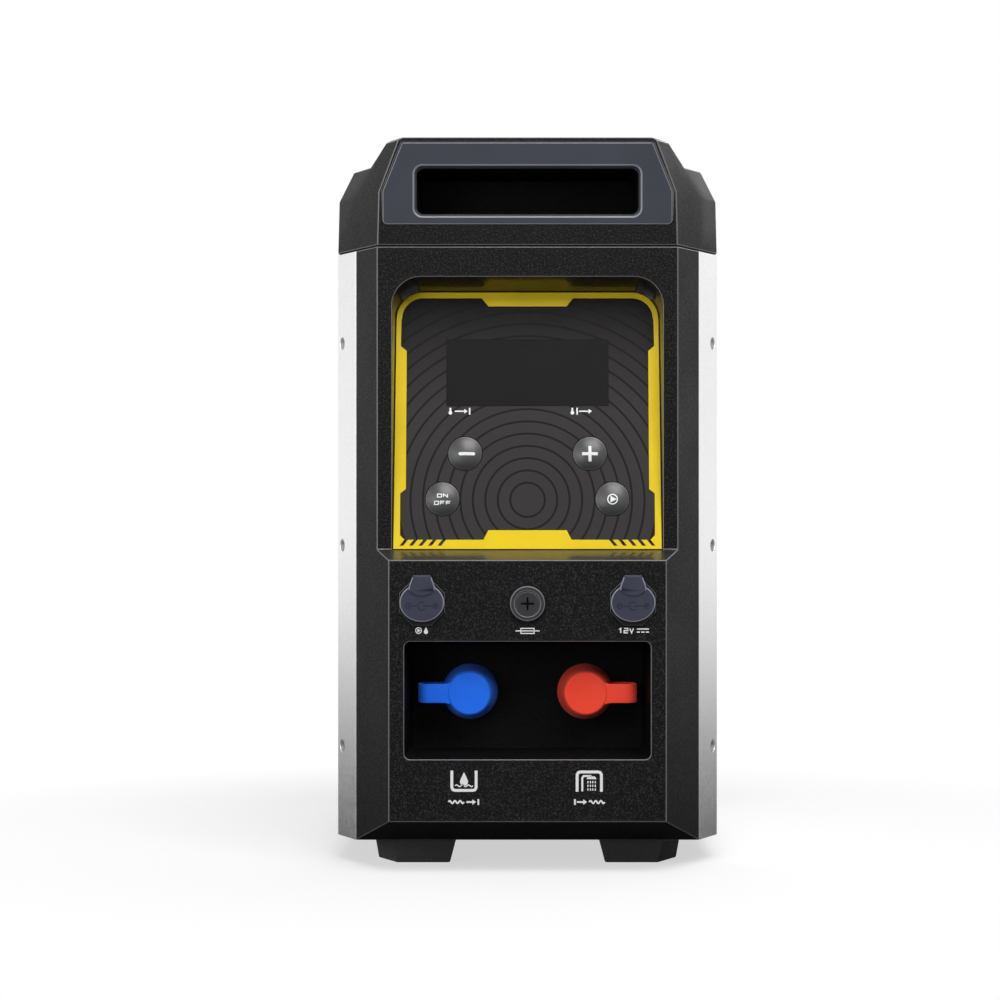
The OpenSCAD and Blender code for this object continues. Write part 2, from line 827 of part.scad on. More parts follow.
// Board behind the panel with one switch behind each button
module display_board() {
    z = -button_floor - 6;
    color([0.1, 0.35, 0.2]) on_panel() {
        translate([0, (window_v + lower_button_v) / 2 + 6, z])
            cube([2 * (lower_button_x + 9), window_v + 10, 1.6], center = true);
        translate([0, window_v, -button_floor - 2.6])
            cube([2 * window_hw - 8, window_h - 8, 5.2], center = true);
        for (p = button_places())
            translate([p[0], p[1], z]) cylinder(r = 3, h = 6 - 1.8 - button_travel - 0.3);
        for (x = [-lower_button_x - 4, lower_button_x + 4])
            for (v = [lower_button_v + 14, window_v + 14])
                translate([x, v, z]) cylinder(r = 2, h = 6);
    }
}

// Push button at a place on the panel: domed face, skirt and a flange behind the cover's wall
module button(place) {
    dome_r = (button_r * button_r + button_dome * button_dome) / (2 * button_dome);
    color([0.3, 0.3, 0.31]) on_panel() translate([place[0], place[1], 0]) {
        intersection() {
            translate([0, 0, button_dome - dome_r]) sphere(dome_r, $fn = 96);
            cylinder(r = button_r, h = button_dome + 1);
        }
        translate([0, 0, -button_floor - 0.3]) cylinder(r = button_r, h = button_floor + 0.3 + eps);
        translate([0, 0, -button_floor - 1.5]) cylinder(r = button_r + 1.2, h = 1.3);
    }
}

module button_minus() {
    button(button_places()[0]);
}

module button_plus() {
    button(button_places()[1]);
}

module button_power() {
    button(button_places()[2]);
}

module button_pump() {
    button(button_places()[3]);
}

// ---------- sockets and fuse ----------

// Round low-voltage socket: flange on the face, barrel, centre pin
module socket(s) {
    color(plastic) translate([s * socket_x, 0, socket_z]) {
        difference() {
            union() {
                rotate([0, 22.5, 0]) translate([0, -half_d - socket_flange_t, 0]) rotate([-90, 0, 0])
                    cylinder(r = socket_flange_r, h = socket_flange_t, $fn = 8);
                rod_y(socket_bore_r + 2, -half_d - 0.5, -half_d + socket_len);
                rod_y(socket_bore_r + 4.5, -half_d + wall, -half_d + wall + 3);
            }
            rod_y(socket_bore_r, -half_d - socket_flange_t - 1, -half_d + socket_len - 3);
        }
        rod_y(1.05, -half_d + 5, -half_d + socket_len - 2);
    }
}

module pump_socket() {
    socket(-1);
}

module power_socket() {
    socket(1);
}

// Rubber cover: oval lid, tapered plug behind it and the tab that bends at its top
module socket_cover(s) {
    back_y = -half_d - socket_flange_t - cover_gap;
    front_y = back_y - socket_cover_t;
    bar_r = socket_cover_t / 2;
    color([0.2, 0.2, 0.24]) translate([s * socket_x, 0, socket_z]) {
        scale([1, 1, socket_cover_hh / socket_cover_r]) rod_y(socket_cover_r, front_y + tab_rise, back_y);
        along_y(front_y, back_y) intersection() {
            polygon([
                [-tab_hw, 0], [tab_hw, 0], [tab_hw, tab_turn], [tab_top_hw, socket_hinge],
                [-tab_top_hw, socket_hinge], [-tab_hw, tab_turn]
            ]);
            translate([0, 3.7 + tab_foot_r]) circle(tab_foot_r);
        }
        hull() for (e = [-1, 1])
            translate([e * (tab_top_hw - bar_r), (front_y + back_y) / 2, socket_hinge])
                sphere(bar_r, $fn = 32);
        difference() {
            translate([0, back_y - eps, 0]) rotate([-90, 0, 0]) cylinder(r1 = 4.9, r2 = 3.7, h = 5.5);
            rod_y(2.2, back_y + 1, back_y + 7);
        }
    }
}

module pump_socket_cover() {
    socket_cover(-1);
}

module power_socket_cover() {
    socket_cover(1);
}

module fuse_holder() {
    color(plastic) translate([0, 0, fuse_z]) {
        difference() {
            union() {
                rod_y(fuse_collar_r, -half_d - 2.6, -half_d);
                rod_y(fuse_cap_r + 1, -half_d - 1, -half_d + fuse_len + 12);
                rod_y(fuse_cap_r + 3.6, -half_d + wall, -half_d + wall + 4);
            }
            rod_y(fuse_cap_r + 0.3, -half_d - 3, -half_d + 2);
            rod_y(4.9, -half_d - 3, -half_d + fuse_len + 9);
        }
    }
}

module fuse_cap() {
    color(plastic) translate([0, 0, fuse_z]) difference() {
        union() {
            rod_y(fuse_cap_r, -half_d - 2.8, -half_d + 1.7);
            rod_y(4.5, -half_d + 1.6, -half_d + 9);
        }
        rod_y(3.3, -half_d + 3, -half_d + 10);
        for (turn = [0, 90])
            rotate([0, turn, 0]) translate([0, -half_d - 2.8, 0]) cube([6.8, 2, 0.8], center = true);
    }
}

module fuse_link() {
    color(brass) translate([0, 0, fuse_z]) {
        rod_y(2.6, -half_d + 8, -half_d + fuse_len - 2);
        rod_y(3, -half_d + 3.3, -half_d + 9);
        rod_y(3, -half_d + fuse_len - 3, -half_d + fuse_len + 3.3);
    }
}

// ---------- water ----------

// Brass connection: thread, collar, the wall's flange and nut, and a tail for the pipe
module water_port(s) {
    color(brass) translate([s * port_x, 0, port_z]) difference() {
        union() {
            rod_y(thread_r, -port_end_y, -well_back_y);
            rod_y(collar_r, -well_back_y - collar_len, -well_back_y + wall);
            translate([0, -well_back_y + wall, 0]) rotate([-90, 0, 0]) cylinder(r = 17, h = 5, $fn = 6);
            rod_y(9, -well_back_y + wall, -well_back_y + 14);
        }
        rod_y(7, -port_end_y - 1, -well_back_y + 15);
    }
}

module water_inlet() {
    water_port(-1);
}

module water_outlet() {
    water_port(1);
}

// Soft cap over a connection, with a bead round its foot and a shallow dish in its front
module water_cap(s, shade) {
    front_y = -well_back_y - cap_len;
    color(shade) translate([s * port_x, 0, port_z]) rotate([90, 0, 0]) rotate_extrude($fn = 96)
        polygon([
            [0, -front_y], [cap_front_r - 0.8, -front_y], [cap_front_r, -front_y - 0.8],
            [cap_foot_r - 0.3, well_back_y + 3], [cap_foot_r, well_back_y + 2.4],
            [cap_foot_r, well_back_y + 0.3],
            [collar_r + 0.3, well_back_y + 0.3], [collar_r + 0.3, well_back_y + collar_len + 0.4],
            [thread_r + 1.02, well_back_y + collar_len + 0.4],
            [thread_r + 1.02, port_end_y + 0.4], [0, port_end_y + 0.4]
        ]);
}

module inlet_cap() {
    water_cap(-1, [0.16, 0.42, 0.9]);
}

module outlet_cap() {
    water_cap(1, [0.9, 0.28, 0.2]);
}

// Strap of a cap: from the cap's front outwards, round a bend and back along the recess's wall
module cap_strap(s, shade) {
    front_y = -well_back_y - cap_len;
    outer_x = well_hw - well_draft - 3.4;
    bend = 6;
    in_x = port_x + cap_front_r + 0.45;
    color(shade) scale([s, 1, 1]) translate([0, 0, port_z - strap_w / 2]) linear_extrude(strap_w) {
        translate([in_x, front_y + 0.6]) square([outer_x - bend - in_x, strap_t]);
        translate([outer_x - strap_t, front_y + 0.6 + bend]) square([strap_t, cap_len - 0.9 - 2 * bend]);
        translate([port_x + cap_foot_r + 0.5, -well_back_y - strap_t - 0.3])
            square([outer_x - bend - port_x - cap_foot_r - 0.5, strap_t]);
        for (end = [[front_y + 0.6 + bend, -1], [-well_back_y - 0.3 - bend, 1]])
            translate([outer_x - bend, end[0]]) intersection() {
                difference() {
                    circle(bend);
                    circle(bend - strap_t);
                }
                translate([0, end[1] > 0 ? 0 : -bend]) square([bend, bend]);
            }
    }
}

module inlet_strap() {
    cap_strap(-1, [0.16, 0.42, 0.9]);
}

module outlet_strap() {
    cap_strap(1, [0.9, 0.28, 0.2]);
}

// Flow sensor: hollow body in line with the inlet, with a bearing cross at each end
module flow_sensor() {
    y1 = sensor_y0 + sensor_len;
    color(plastic_soft) translate([-port_x, 0, port_z]) {
        difference() {
            rod_y(14, sensor_y0, y1);
            rod_y(7, sensor_y0 - 1, y1 + 1);
            rod_y(11, sensor_y0 + 6, y1 - 6);
        }
        for (y = [sensor_y0 + 6, y1 - 8])
            difference() {
                union() {
                    translate([0, y + 1, 0]) cube([2, 2, 22.4], center = true);
                    translate([0, y + 1, 0]) cube([22.4, 2, 2], center = true);
                    rod_y(3, y, y + 2);
                }
                rod_y(1.1, y - 1, y + 3);
            }
        translate([0, (sensor_y0 + y1) / 2, 17]) cube([12, 16, 8], center = true);
    }
}

// Turbine of the flow sensor: hub, slanted vanes and a thin shaft
module flow_turbine() {
    mid = sensor_y0 + sensor_len / 2;
    color("white") translate([-port_x, 0, port_z]) {
        rod_y(1, sensor_y0 + 6.2, sensor_y0 + sensor_len - 6.2);
        rod_y(3.2, mid - 8, mid + 8);
        for (a = [0:60:300])
            rotate([0, a, 0]) translate([0, mid, 6]) rotate([0, 0, 30]) cube([1.4, 12, 6.8], center = true);
    }
}

module cold_pipe() {
    end = sensor_y0 + sensor_len;
    tube_y = stack_y - 2 * tube_pitch;
    color(copper) tube([
        [-port_x, end, port_z], [-port_x, end + 12, port_z], [-side_pipe_x, end + 12, port_z],
        [-side_pipe_x, tube_y, port_z], [-side_pipe_x, tube_y, tube_z], [-stack_w / 2 - 4, tube_y, tube_z]
    ], tube_r);
}

module hot_pipe() {
    tube_y = stack_y + 2 * tube_pitch;
    color(copper) tube([
        [port_x, -well_back_y + 14, port_z], [port_x, -well_back_y + 30, port_z],
        [side_pipe_x, -well_back_y + 30, port_z], [side_pipe_x, tube_y, port_z],
        [side_pipe_x, tube_y, tube_z], [stack_w / 2 + 4, tube_y, tube_z]
    ], tube_r);
}

// ---------- gas ----------

// Gas fitting: flared thread, hexagon outside the wall, flange inside it
module gas_inlet() {
    back = half_d - gas_well_d;
    tip = half_d + socket_proud;
    color(brass) translate([0, 0, port_z]) difference() {
        union() {
            rod_y(gas_thread_r, tip - gas_thread_len, tip - 3);
            translate([0, tip - 3 - eps, 0]) rotate([-90, 0, 0]) cylinder(r1 = 7, r2 = 5, h = 3 + eps);
            translate([0, back, 0]) rotate([-90, 0, 0]) cylinder(r = 11, h = 8, $fn = 6);
            rod_y(gas_thread_r - 0.8, back, tip - gas_thread_len + 1);
            rod_y(gas_thread_r + 0.9, back - wall, back);
            rod_y(12, back - wall - 3, back - wall);
            rod_y(6.5, back - wall - 14, back - wall);
        }
        rod_y(4, back - wall - 15, tip + 1);
    }
}

valve_y0 = stack_y + stack_d / 2 + 27;
valve_y1 = valve_y0 + 40;

module gas_pipe() {
    end = half_d - gas_well_d - wall - 14;
    color(copper) translate([0, 0, port_z]) difference() {
        rod_y(6, valve_y1, end);
        rod_y(4, valve_y1 - 1, end + 1);
    }
}

// Gas valve body, with the outlet boss towards the manifold and ribs on its sides
module gas_valve() {
    color(zinc) {
        translate([-20, valve_y0, port_z - 19]) cube([40, valve_y1 - valve_y0, 36]);
        translate([-24, valve_y0 + 5, port_z - 13]) cube([48, 30, 6]);
        translate([-24, valve_y0 + 5, port_z + 4]) cube([48, 30, 6]);
        translate([0, 0, manifold_z]) rod_y(7, manifold_y + 6, valve_y0 + 1);
    }
}

module gas_solenoids() {
    color(steel) for (y = [valve_y0 + 11, valve_y0 + 30])
        translate([0, y, port_z + 17]) {
            cylinder(r = 8.5, h = 24);
            cylinder(r = 3.5, h = 28);
            translate([0, 0, 4]) cube([19, 15, 3], center = true);
        }
}

function bar_x(i) = (i - (burner_bars - 1) / 2) * (stack_w - 16) / burner_bars;

// Manifold with one nozzle for each burner bar
module gas_manifold() {
    color(brass) {
        translate([-stack_w / 2 + 12, manifold_y, manifold_z]) rotate([0, 90, 0])
            cylinder(r = 6, h = stack_w - 24);
        for (i = [0:burner_bars - 1])
            translate([bar_x(i), 0, manifold_z]) {
                rod_y(3, manifold_y - 9, manifold_y);
                rod_y(1.5, manifold_y - 12, manifold_y);
            }
    }
}

// Burner: open steel tray with a row of flame bars, each with its gas mouth at the rear
module burner() {
    y0 = stack_y - stack_d / 2;
    color(steel) {
        difference() {
            translate([-stack_w / 2, y0, burner_low]) cube([stack_w, stack_d, burner_h]);
            translate([-stack_w / 2 + metal, y0 + metal, burner_low + metal])
                cube([stack_w - 2 * metal, stack_d - 2 * metal, burner_h]);
            translate([fan_out_x - 17, stack_y - 16, burner_low - 1]) cube([34, 32, 5]);
            for (i = [0:burner_bars - 1])
                translate([bar_x(i), 0, manifold_z]) rod_y(4.5, y0 + stack_d - 5, y0 + stack_d + 1);
        }
        for (i = [0:burner_bars - 1])
            translate([bar_x(i), 0, 0]) burner_bar(y0 + 6, y0 + stack_d);
    }
}

// One flame bar: a tall narrow body with slots across its top and a round mouth
module burner_bar(y0, y1) {
    slots = 9;
    difference() {
        union() {
            translate([-5, y0, burner_low + 14]) cube([10, y1 - y0 - 10, burner_h - 18]);
            translate([-1.5, y0, burner_low + metal - eps]) cube([3, y1 - y0 - 30, 14]);
            translate([0, 0, manifold_z]) rod_y(6, y1 - 34, y1 - metal);
        }
        translate([-3.4, y0 + 3, burner_low + 17]) cube([6.8, y1 - y0 - 16, burner_h - 24]);
        translate([0, 0, manifold_z]) rod_y(4.4, y1 - 32, y1 + 1);
        translate([-2, y1 - 26, manifold_z]) cube([4, 12, 12]);
        for (k = [0:slots - 1])
            translate([-3.5, y0 + 8 + k * (y1 - y0 - 30) / (slots - 1), burner_low + burner_h - 9])
                cube([7, 2, 6]);
    }
}

// ---------- combustion and exhaust ----------

module combustion_chamber() {
    y0 = stack_y - stack_d / 2;
    color(steel) difference() {
        union() {
            translate([-stack_w / 2, y0, chamber_low]) cube([stack_w, stack_d, chamber_h]);
            for (z = [chamber_low + 25, chamber_low + chamber_h - 25])
                translate([-stack_w / 2 - 1, y0 - 1, z]) cube([stack_w + 2, stack_d + 2, 5]);
        }
        translate([-stack_w / 2 + metal, y0 + metal, chamber_low - 1])
            cube([stack_w - 2 * metal, stack_d - 2 * metal, chamber_h + 2]);
        for (x = [-electrode_x, electrode_x])
            translate([x, 0, electrode_z]) rod_y(4.2, y0 - 2, y0 + 3);
    }
}

function fin_x(i) = (i + 1) * stack_w / (fins + 1) - stack_w / 2;

// Finned heat exchanger: copper case, fins, five tubes and the bends that join them
module heat_exchanger() {
    y0 = stack_y - stack_d / 2;
    color(copper) {
        difference() {
            translate([-stack_w / 2, y0, exchanger_low]) cube([stack_w, stack_d, exchanger_h]);
            translate([-stack_w / 2 + metal, y0 + metal, exchanger_low - 1])
                cube([stack_w - 2 * metal, stack_d - 2 * metal, exchanger_h + 2]);
        }
        for (i = [0:fins - 1])
            translate([fin_x(i) - 0.4, y0 + metal - 0.2, exchanger_low + 8])
                cube([0.8, stack_d - 2 * metal + 0.4, exchanger_h - 16]);
        for (k = [-2:2])
            translate([-stack_w / 2 - 4, stack_y + k * tube_pitch, tube_z]) rotate([0, 90, 0])
                cylinder(r = tube_r, h = stack_w + 8);
        for (k = [-2:1])
            translate([(k % 2 == 0 ? 1 : -1) * (stack_w / 2 + 4), stack_y + (k + 0.5) * tube_pitch, tube_z])
                rotate([0, 0, k % 2 == 0 ? -90 : 90]) rotate_extrude(angle = 180, $fn = 48)
                    translate([tube_pitch / 2, 0]) circle(tube_r);
    }
}

// Hood that gathers the exhaust below the grille
module flue_hood() {
    throat_w = flue_grille_w - 14;
    throat_d = flue_grille_d - 14;
    throat_z = roof_z - 22;
    inner_w = throat_w - 2 * metal;
    inner_d = throat_d - 2 * metal;
    color(steel) difference() {
        union() {
            hull() {
                translate([0, stack_y, exchanger_high + 1]) cube([stack_w, stack_d, 2], center = true);
                translate([0, stack_y, throat_z]) cube([throat_w, throat_d, eps], center = true);
            }
            translate([0, stack_y, (throat_z + roof_z - metal - 0.3) / 2])
                cube([throat_w, throat_d, roof_z - metal - 0.3 - throat_z], center = true);
        }
        hull() {
            translate([0, stack_y, exchanger_high - eps])
                cube([stack_w - 2 * metal, stack_d - 2 * metal, 2], center = true);
            translate([0, stack_y, throat_z - 1]) cube([inner_w, inner_d, eps], center = true);
        }
        translate([0, stack_y, throat_z + 20]) cube([inner_w, inner_d, 44], center = true);
    }
}

// Two legs with windows that carry the stack on the base plate
module stack_frame() {
    color(steel) for (s = [-1, 1])
        scale([s, 1, 1]) {
            difference() {
                translate([stack_w / 2, stack_y - 45, base_z]) cube([2, 90, burner_z + burner_h + 14]);
                translate([stack_w / 2 - 1, stack_y - 33, base_z + 14]) cube([4, 66, burner_z - 24]);
            }
            translate([stack_w / 2, stack_y - 45, base_z]) cube([12, 90, 2]);
        }
}

// Ceramic rod through the chamber's front wall with its fixing plate and bent tip
module electrode(x) {
    y0 = stack_y - stack_d / 2;
    color("white") translate([x, 0, electrode_z]) {
        rod_y(4, y0 - 16, y0 + 14);
        rod_y(1, y0 - 22, y0 + 34);
        translate([0, y0 - 2, 0]) cube([22, 2, 12], center = true);
    }
}

module spark_electrode() {
    electrode(-electrode_x);
}

module flame_sensor() {
    electrode(electrode_x);
}

// Safety cut-out clipped to the heat exchanger's front
module overheat_cutoff() {
    y0 = stack_y - stack_d / 2;
    color(plastic_soft) translate([-30, 0, tube_z]) {
        rod_y(8, y0 - 9, y0 - 1.5);
        translate([0, y0 - 0.75, 0]) cube([26, 1.5, 12], center = true);
        for (x = [-4, 4])
            translate([x, y0 - 12, 0]) cube([0.8, 8, 6], center = true);
    }
}

// ---------- blower ----------

// Scroll housing with an air mouth in its front and a duct up to the burner
module fan_housing() {
    r = wheel_r + 6;
    color(zinc) difference() {
        union() {
            translate([0, 0, fan_z]) rod_y(r, stack_y - fan_half, stack_y + fan_half);
            translate([fan_out_x - 15, stack_y - fan_half, fan_z])
                cube([r - fan_out_x + 15, 2 * fan_half, burner_low - fan_z]);
            translate([-26, stack_y - fan_half, base_z]) cube([52, 2 * fan_half, 5]);
        }
        translate([0, 0, fan_z]) rod_y(r - 1.6, stack_y - fan_half + 1.6, stack_y + fan_half - 1.6);
        translate([0, 0, fan_z]) rod_y(wheel_r - 6, stack_y - fan_half - 1, stack_y);
        translate([0, 0, fan_z]) rod_y(4, stack_y, stack_y + fan_half + 1);
        translate([fan_out_x - 13.4, stack_y - fan_half + 1.6, fan_z])
            cube([r - fan_out_x + 11.8, 2 * fan_half - 3.2, burner_low - fan_z + 1]);
    }
}

// Blower wheel: back disc, hub and forward-leaning blades under a ring
module fan_wheel() {
    y0 = stack_y - fan_half + 4;
    y1 = stack_y + fan_half - 5;
    color(plastic_soft) translate([0, 0, fan_z]) {
        difference() {
            union() {
                rod_y(6, y1 - 12, y1);
                rod_y(wheel_r, y1 - 1.6, y1);
            }
            rod_y(2.55, y1 - 13, y1 + 1);
        }
        difference() {
            rod_y(wheel_r, y0, y0 + 1.6);
            rod_y(wheel_r - 4, y0 - 1, y0 + 3);
        }
        for (i = [0:blades - 1])
            rotate([0, i * 360 / blades, 0]) translate([wheel_r - 2.6, (y0 + y1) / 2, 0]) rotate([0, 35, 0])
                cube([4.4, y1 - y0 - 1, 0.8], center = true);
    }
}

// Motor behind the scroll, with the shaft that carries the wheel
module fan_motor() {
    y1 = stack_y + fan_half;
    color(steel) translate([0, 0, fan_z]) {
        rod_y(17, y1, y1 + 24);
        rod_y(6, y1 + 24, y1 + 27);
        rod_y(2.5, y1 - 16, y1 + 1);
    }
}

// ---------- electric parts on the base ----------

module igniter_module() {
    color(plastic) translate([20, -seam_y + 14, base_z]) {
        difference() {
            cube([54, 38, 28]);
            translate([3, 3, 25]) cube([48, 32, 4]);
        }
        for (x = [12, 42])
            translate([x, 19, 24]) cylinder(r = 4, h = 9);
    }
}

module tilt_switch() {
    color(plastic) translate([-66, -seam_y + 16, base_z]) {
        cube([22, 16, 20]);
        translate([-5, 4, 0]) cube([32, 8, 2]);
        translate([11, 8, 19]) cylinder(r = 5, h = 5);
    }
}

// Control box with cooling fins on its lid
module control_box() {
    color(plastic_soft) translate([-half_w + 14, seam_y - 66, base_z]) {
        cube([52, 58, 40]);
        for (i = [0:5])
            translate([4 + i * 8, 4, 40 - eps]) cube([4, 50, 4]);
        translate([10, -3, 8]) cube([30, 4, 12]);
    }
}

front_cover();
rear_cover();
top_cover();
side_panel_left();
side_panel_right();
base_plate();
foot_front_left();
foot_front_right();
foot_rear_left();
foot_rear_right();
side_screws();
grip_trim_front();
grip_trim_rear();
exhaust_grille();
intake_grille();
control_panel();
panel_frame();
display_window();
display_board();
button_minus();
button_plus();
button_power();
button_pump();
pump_socket();
power_socket();
pump_socket_cover();
power_socket_cover();
fuse_holder();
fuse_cap();
fuse_link();
water_inlet();
water_outlet();
inlet_cap();
outlet_cap();
inlet_strap();
outlet_strap();
flow_sensor();
flow_turbine();
cold_pipe();
hot_pipe();
gas_inlet();
gas_pipe();
gas_valve();
gas_solenoids();
gas_manifold();
burner();
combustion_chamber();
heat_exchanger();
flue_hood();
stack_frame();
fan_housing();
fan_wheel();
fan_motor();
spark_electrode();
flame_sensor();
overheat_cutoff();
igniter_module();
tilt_switch();
control_box();
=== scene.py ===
"""Looks of the portable propane water heater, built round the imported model.

Lengths are in metres unless a line says millimetres.
"""

import functools
import json
import math

import bmesh
import bpy
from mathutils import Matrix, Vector
from mathutils.bvhtree import BVHTree
from mathutils.geometry import tessellate_polygon


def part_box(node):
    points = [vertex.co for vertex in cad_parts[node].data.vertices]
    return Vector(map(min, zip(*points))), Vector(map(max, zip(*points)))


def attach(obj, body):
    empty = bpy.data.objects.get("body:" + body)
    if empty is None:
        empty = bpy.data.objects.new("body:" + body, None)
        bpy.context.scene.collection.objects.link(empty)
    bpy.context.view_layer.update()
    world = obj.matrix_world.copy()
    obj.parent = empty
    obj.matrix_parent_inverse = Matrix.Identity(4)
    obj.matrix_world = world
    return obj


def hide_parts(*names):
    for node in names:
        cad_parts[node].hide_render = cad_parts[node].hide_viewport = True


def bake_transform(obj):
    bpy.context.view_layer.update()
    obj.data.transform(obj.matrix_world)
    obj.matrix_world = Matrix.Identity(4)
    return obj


MM = 0.001

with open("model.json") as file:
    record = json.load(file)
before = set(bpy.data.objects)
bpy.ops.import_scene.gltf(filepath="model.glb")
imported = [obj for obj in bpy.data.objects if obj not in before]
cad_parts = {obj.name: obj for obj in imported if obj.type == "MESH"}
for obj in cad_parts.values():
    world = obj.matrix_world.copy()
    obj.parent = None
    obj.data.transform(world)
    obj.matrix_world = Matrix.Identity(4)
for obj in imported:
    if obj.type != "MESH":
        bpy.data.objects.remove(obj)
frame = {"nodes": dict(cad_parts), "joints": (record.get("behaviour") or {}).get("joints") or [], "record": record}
nodes = frame["nodes"]
record = frame["record"]
body_of = {node: body for body, names in record["behaviour"]["bodies"].items() for node in names}
slot_of = {row["node"]: row["material_slot"] for row in record["subparts"]}
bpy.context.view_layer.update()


# ---------- places taken from the frame ----------

# The room between the control panel's low edge and the sill
PANEL_GAP = 0.2 * MM


@functools.lru_cache(maxsize=None)
def box_of(node):
    """The low and high corner of a CAD node's box."""
    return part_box(node)


class Plane:
    """A flat face: origin, the two directions along it and its normal."""

    def __init__(self, origin, right, up):
        self.origin, self.right, self.up = Vector(origin), Vector(right), Vector(up)
        self.normal = self.right.cross(self.up)

    def at(self, u, v, h=0.0):
        return self.origin + self.right * u + self.up * v + self.normal * h


def joint(name):
    return next(j for j in frame["joints"] if j["name"] == name)


def furthest(node, direction):
    return max(v.co.dot(direction) for v in nodes[node].data.vertices)


def panel_plane():
    """The control panel's face, with v = 0 on the sill's edge."""
    normal = -Vector(joint("button_plus_press")["axis"]).normalized()
    up = Vector((1, 0, 0)).cross(normal) * -1
    low = -furthest("control_panel", -up)
    face = normal * furthest("control_panel", normal)
    return Plane(face + up * (low - PANEL_GAP), (1, 0, 0), up)


panel = panel_plane()
front = Plane((0, box_of("front_cover")[0].y, 0), (1, 0, 0), (0, 0, 1))


def middle(node):
    low, high = box_of(node)
    return (low + high) / 2


def on_panel(node):
    """The place of a node's middle on the panel, as u and v."""
    p = middle(node) - panel.origin
    return p.dot(panel.right), p.dot(panel.up)


# ---------- materials ----------

def linear(r, g, b):
    """A colour given in sRGB from 0 to 255, as Blender's linear RGBA."""
    def one(c):
        c /= 255
        return c / 12.92 if c <= 0.04045 else ((c + 0.055) / 1.055) ** 2.4
    return (one(r), one(g), one(b), 1)


def grey(level):
    return linear(level, level, level)


def scaled(colour, factor):
    """A linear colour made lighter or darker."""
    return tuple(c * factor for c in colour[:3]) + (1,)


class Material:
    """A Principled material whose nodes are added by short calls."""

    def __init__(self, name, colour, roughness=0.5, metallic=0.0, **inputs):
        self.mat = bpy.data.materials.new(name)
        self.mat.use_nodes = True
        self.tree = self.mat.node_tree
        self.shader = self.tree.nodes["Principled BSDF"]
        self.set("Base Color", colour)
        self.set("Roughness", roughness)
        self.set("Metallic", metallic)
        for key, value in inputs.items():
            self.set(key.replace("_", " "), value)
        self.coords = self.add("ShaderNodeTexCoord").outputs["Object"]
        self.height = None

    def set(self, socket, value):
        self.shader.inputs[socket].default_value = value

    def add(self, kind, **settings):
        node = self.tree.nodes.new(kind)
        for key, value in settings.items():
            setattr(node, key, value)
        return node

    def link(self, a, b):
        self.tree.links.new(a, b)

    def stretched(self, scale):
        """Object coordinates multiplied by scale along X, Y and Z."""
        node = self.add("ShaderNodeMapping")
        node.inputs["Scale"].default_value = scale
        self.link(self.coords, node.inputs["Vector"])
        return node.outputs["Vector"]

    def noise(self, scale, detail=2.0, rough=0.5, vector=None):
        node = self.add("ShaderNodeTexNoise")
        node.inputs["Scale"].default_value = scale
        node.inputs["Detail"].default_value = detail
        node.inputs["Roughness"].default_value = rough
        self.link(vector or self.coords, node.inputs["Vector"])
        return node.outputs["Fac"]

    def math(self, operation, a, b=0.0, c=0.0):
        node = self.add("ShaderNodeMath", operation=operation)
        for socket, value in zip(node.inputs, (a, b, c)):
            if isinstance(value, (int, float)):
                socket.default_value = value
            else:
                self.link(value, socket)
        return node.outputs[0]

    def spread(self, value, low, high, to_low=0.0, to_high=1.0):
        """Maps value from low..high to to_low..to_high, and clamps it."""
        node = self.add("ShaderNodeMapRange")
        sockets = ("From Min", "From Max", "To Min", "To Max")
        for socket, number in zip(sockets, (low, high, to_low, to_high)):
            node.inputs[socket].default_value = number
        self.link(value, node.inputs["Value"])
        return node.outputs["Result"]

    def blend(self, factor, a, b):
        """Mixes two colours."""
        node = self.add("ShaderNodeMix", data_type="RGBA")
        self.link(factor, node.inputs["Factor"])
        for socket, value in ((node.inputs["A"], a), (node.inputs["B"], b)):
            if isinstance(value, tuple):
                socket.default_value = value
            else:
                self.link(value, socket)
        return node.outputs["Result"]

    def bump(self, height, distance, strength=1.0):
        """Adds a bump on top of those added before."""
        node = self.add("ShaderNodeBump")
        node.inputs["Strength"].default_value = strength
        node.inputs["Distance"].default_value = distance
        self.link(height, node.inputs["Height"])
        if self.height:
            self.link(self.height, node.inputs["Normal"])
        self.height = node.outputs["Normal"]
        self.link(self.height, self.shader.inputs["Normal"])

    def colour(self, output):
        self.link(output, self.shader.inputs["Base Color"])

    def roughness(self, output):
        self.link(output, self.shader.inputs["Roughness"])


def grained_plastic(name, colour, lighter, roughness, specular=0.06, grain=1050):
    """Moulded plastic with a sand-blasted grain that catches light, and faint rubbed patches."""
    depth = 0.16 * MM
    m = Material(name, colour, roughness)
    m.set("Specular IOR Level", specular)
    coarse = m.noise(grain, 2, 0.6)
    fine = m.noise(grain * 2.1, 2, 0.6)
    small = m.math("MULTIPLY", m.spread(fine, 0.5, 0.72), 0.6)
    specks = m.math("ADD", m.spread(coarse, 0.5, 0.7), small)
    m.bump(coarse, depth)
    m.bump(fine, depth * 0.4)
    m.colour(m.blend(m.math("MULTIPLY", specks, 0.5), colour, lighter))
    patch = m.noise(18, 3)
    m.roughness(m.spread(patch, 0.3, 0.7, roughness - 0.05, roughness + 0.05))
    return m.mat


def smooth_plastic(name, colour, roughness, coat=0.0, specular=0.5):
    """Moulded plastic with a faint orange-peel skin and slight clouding."""
    m = Material(name, colour, roughness, Coat_Weight=coat, Coat_Roughness=0.1)
    m.set("Specular IOR Level", specular)
    m.bump(m.noise(420, 2), 0.01 * MM, 0.6)
    m.roughness(m.spread(m.noise(90, 4, 0.6), 0.3, 0.7, roughness - 0.04, roughness + 0.06))
    m.colour(m.blend(m.spread(m.noise(35, 2), 0.35, 0.65), scaled(colour, 0.9), colour))
    return m.mat


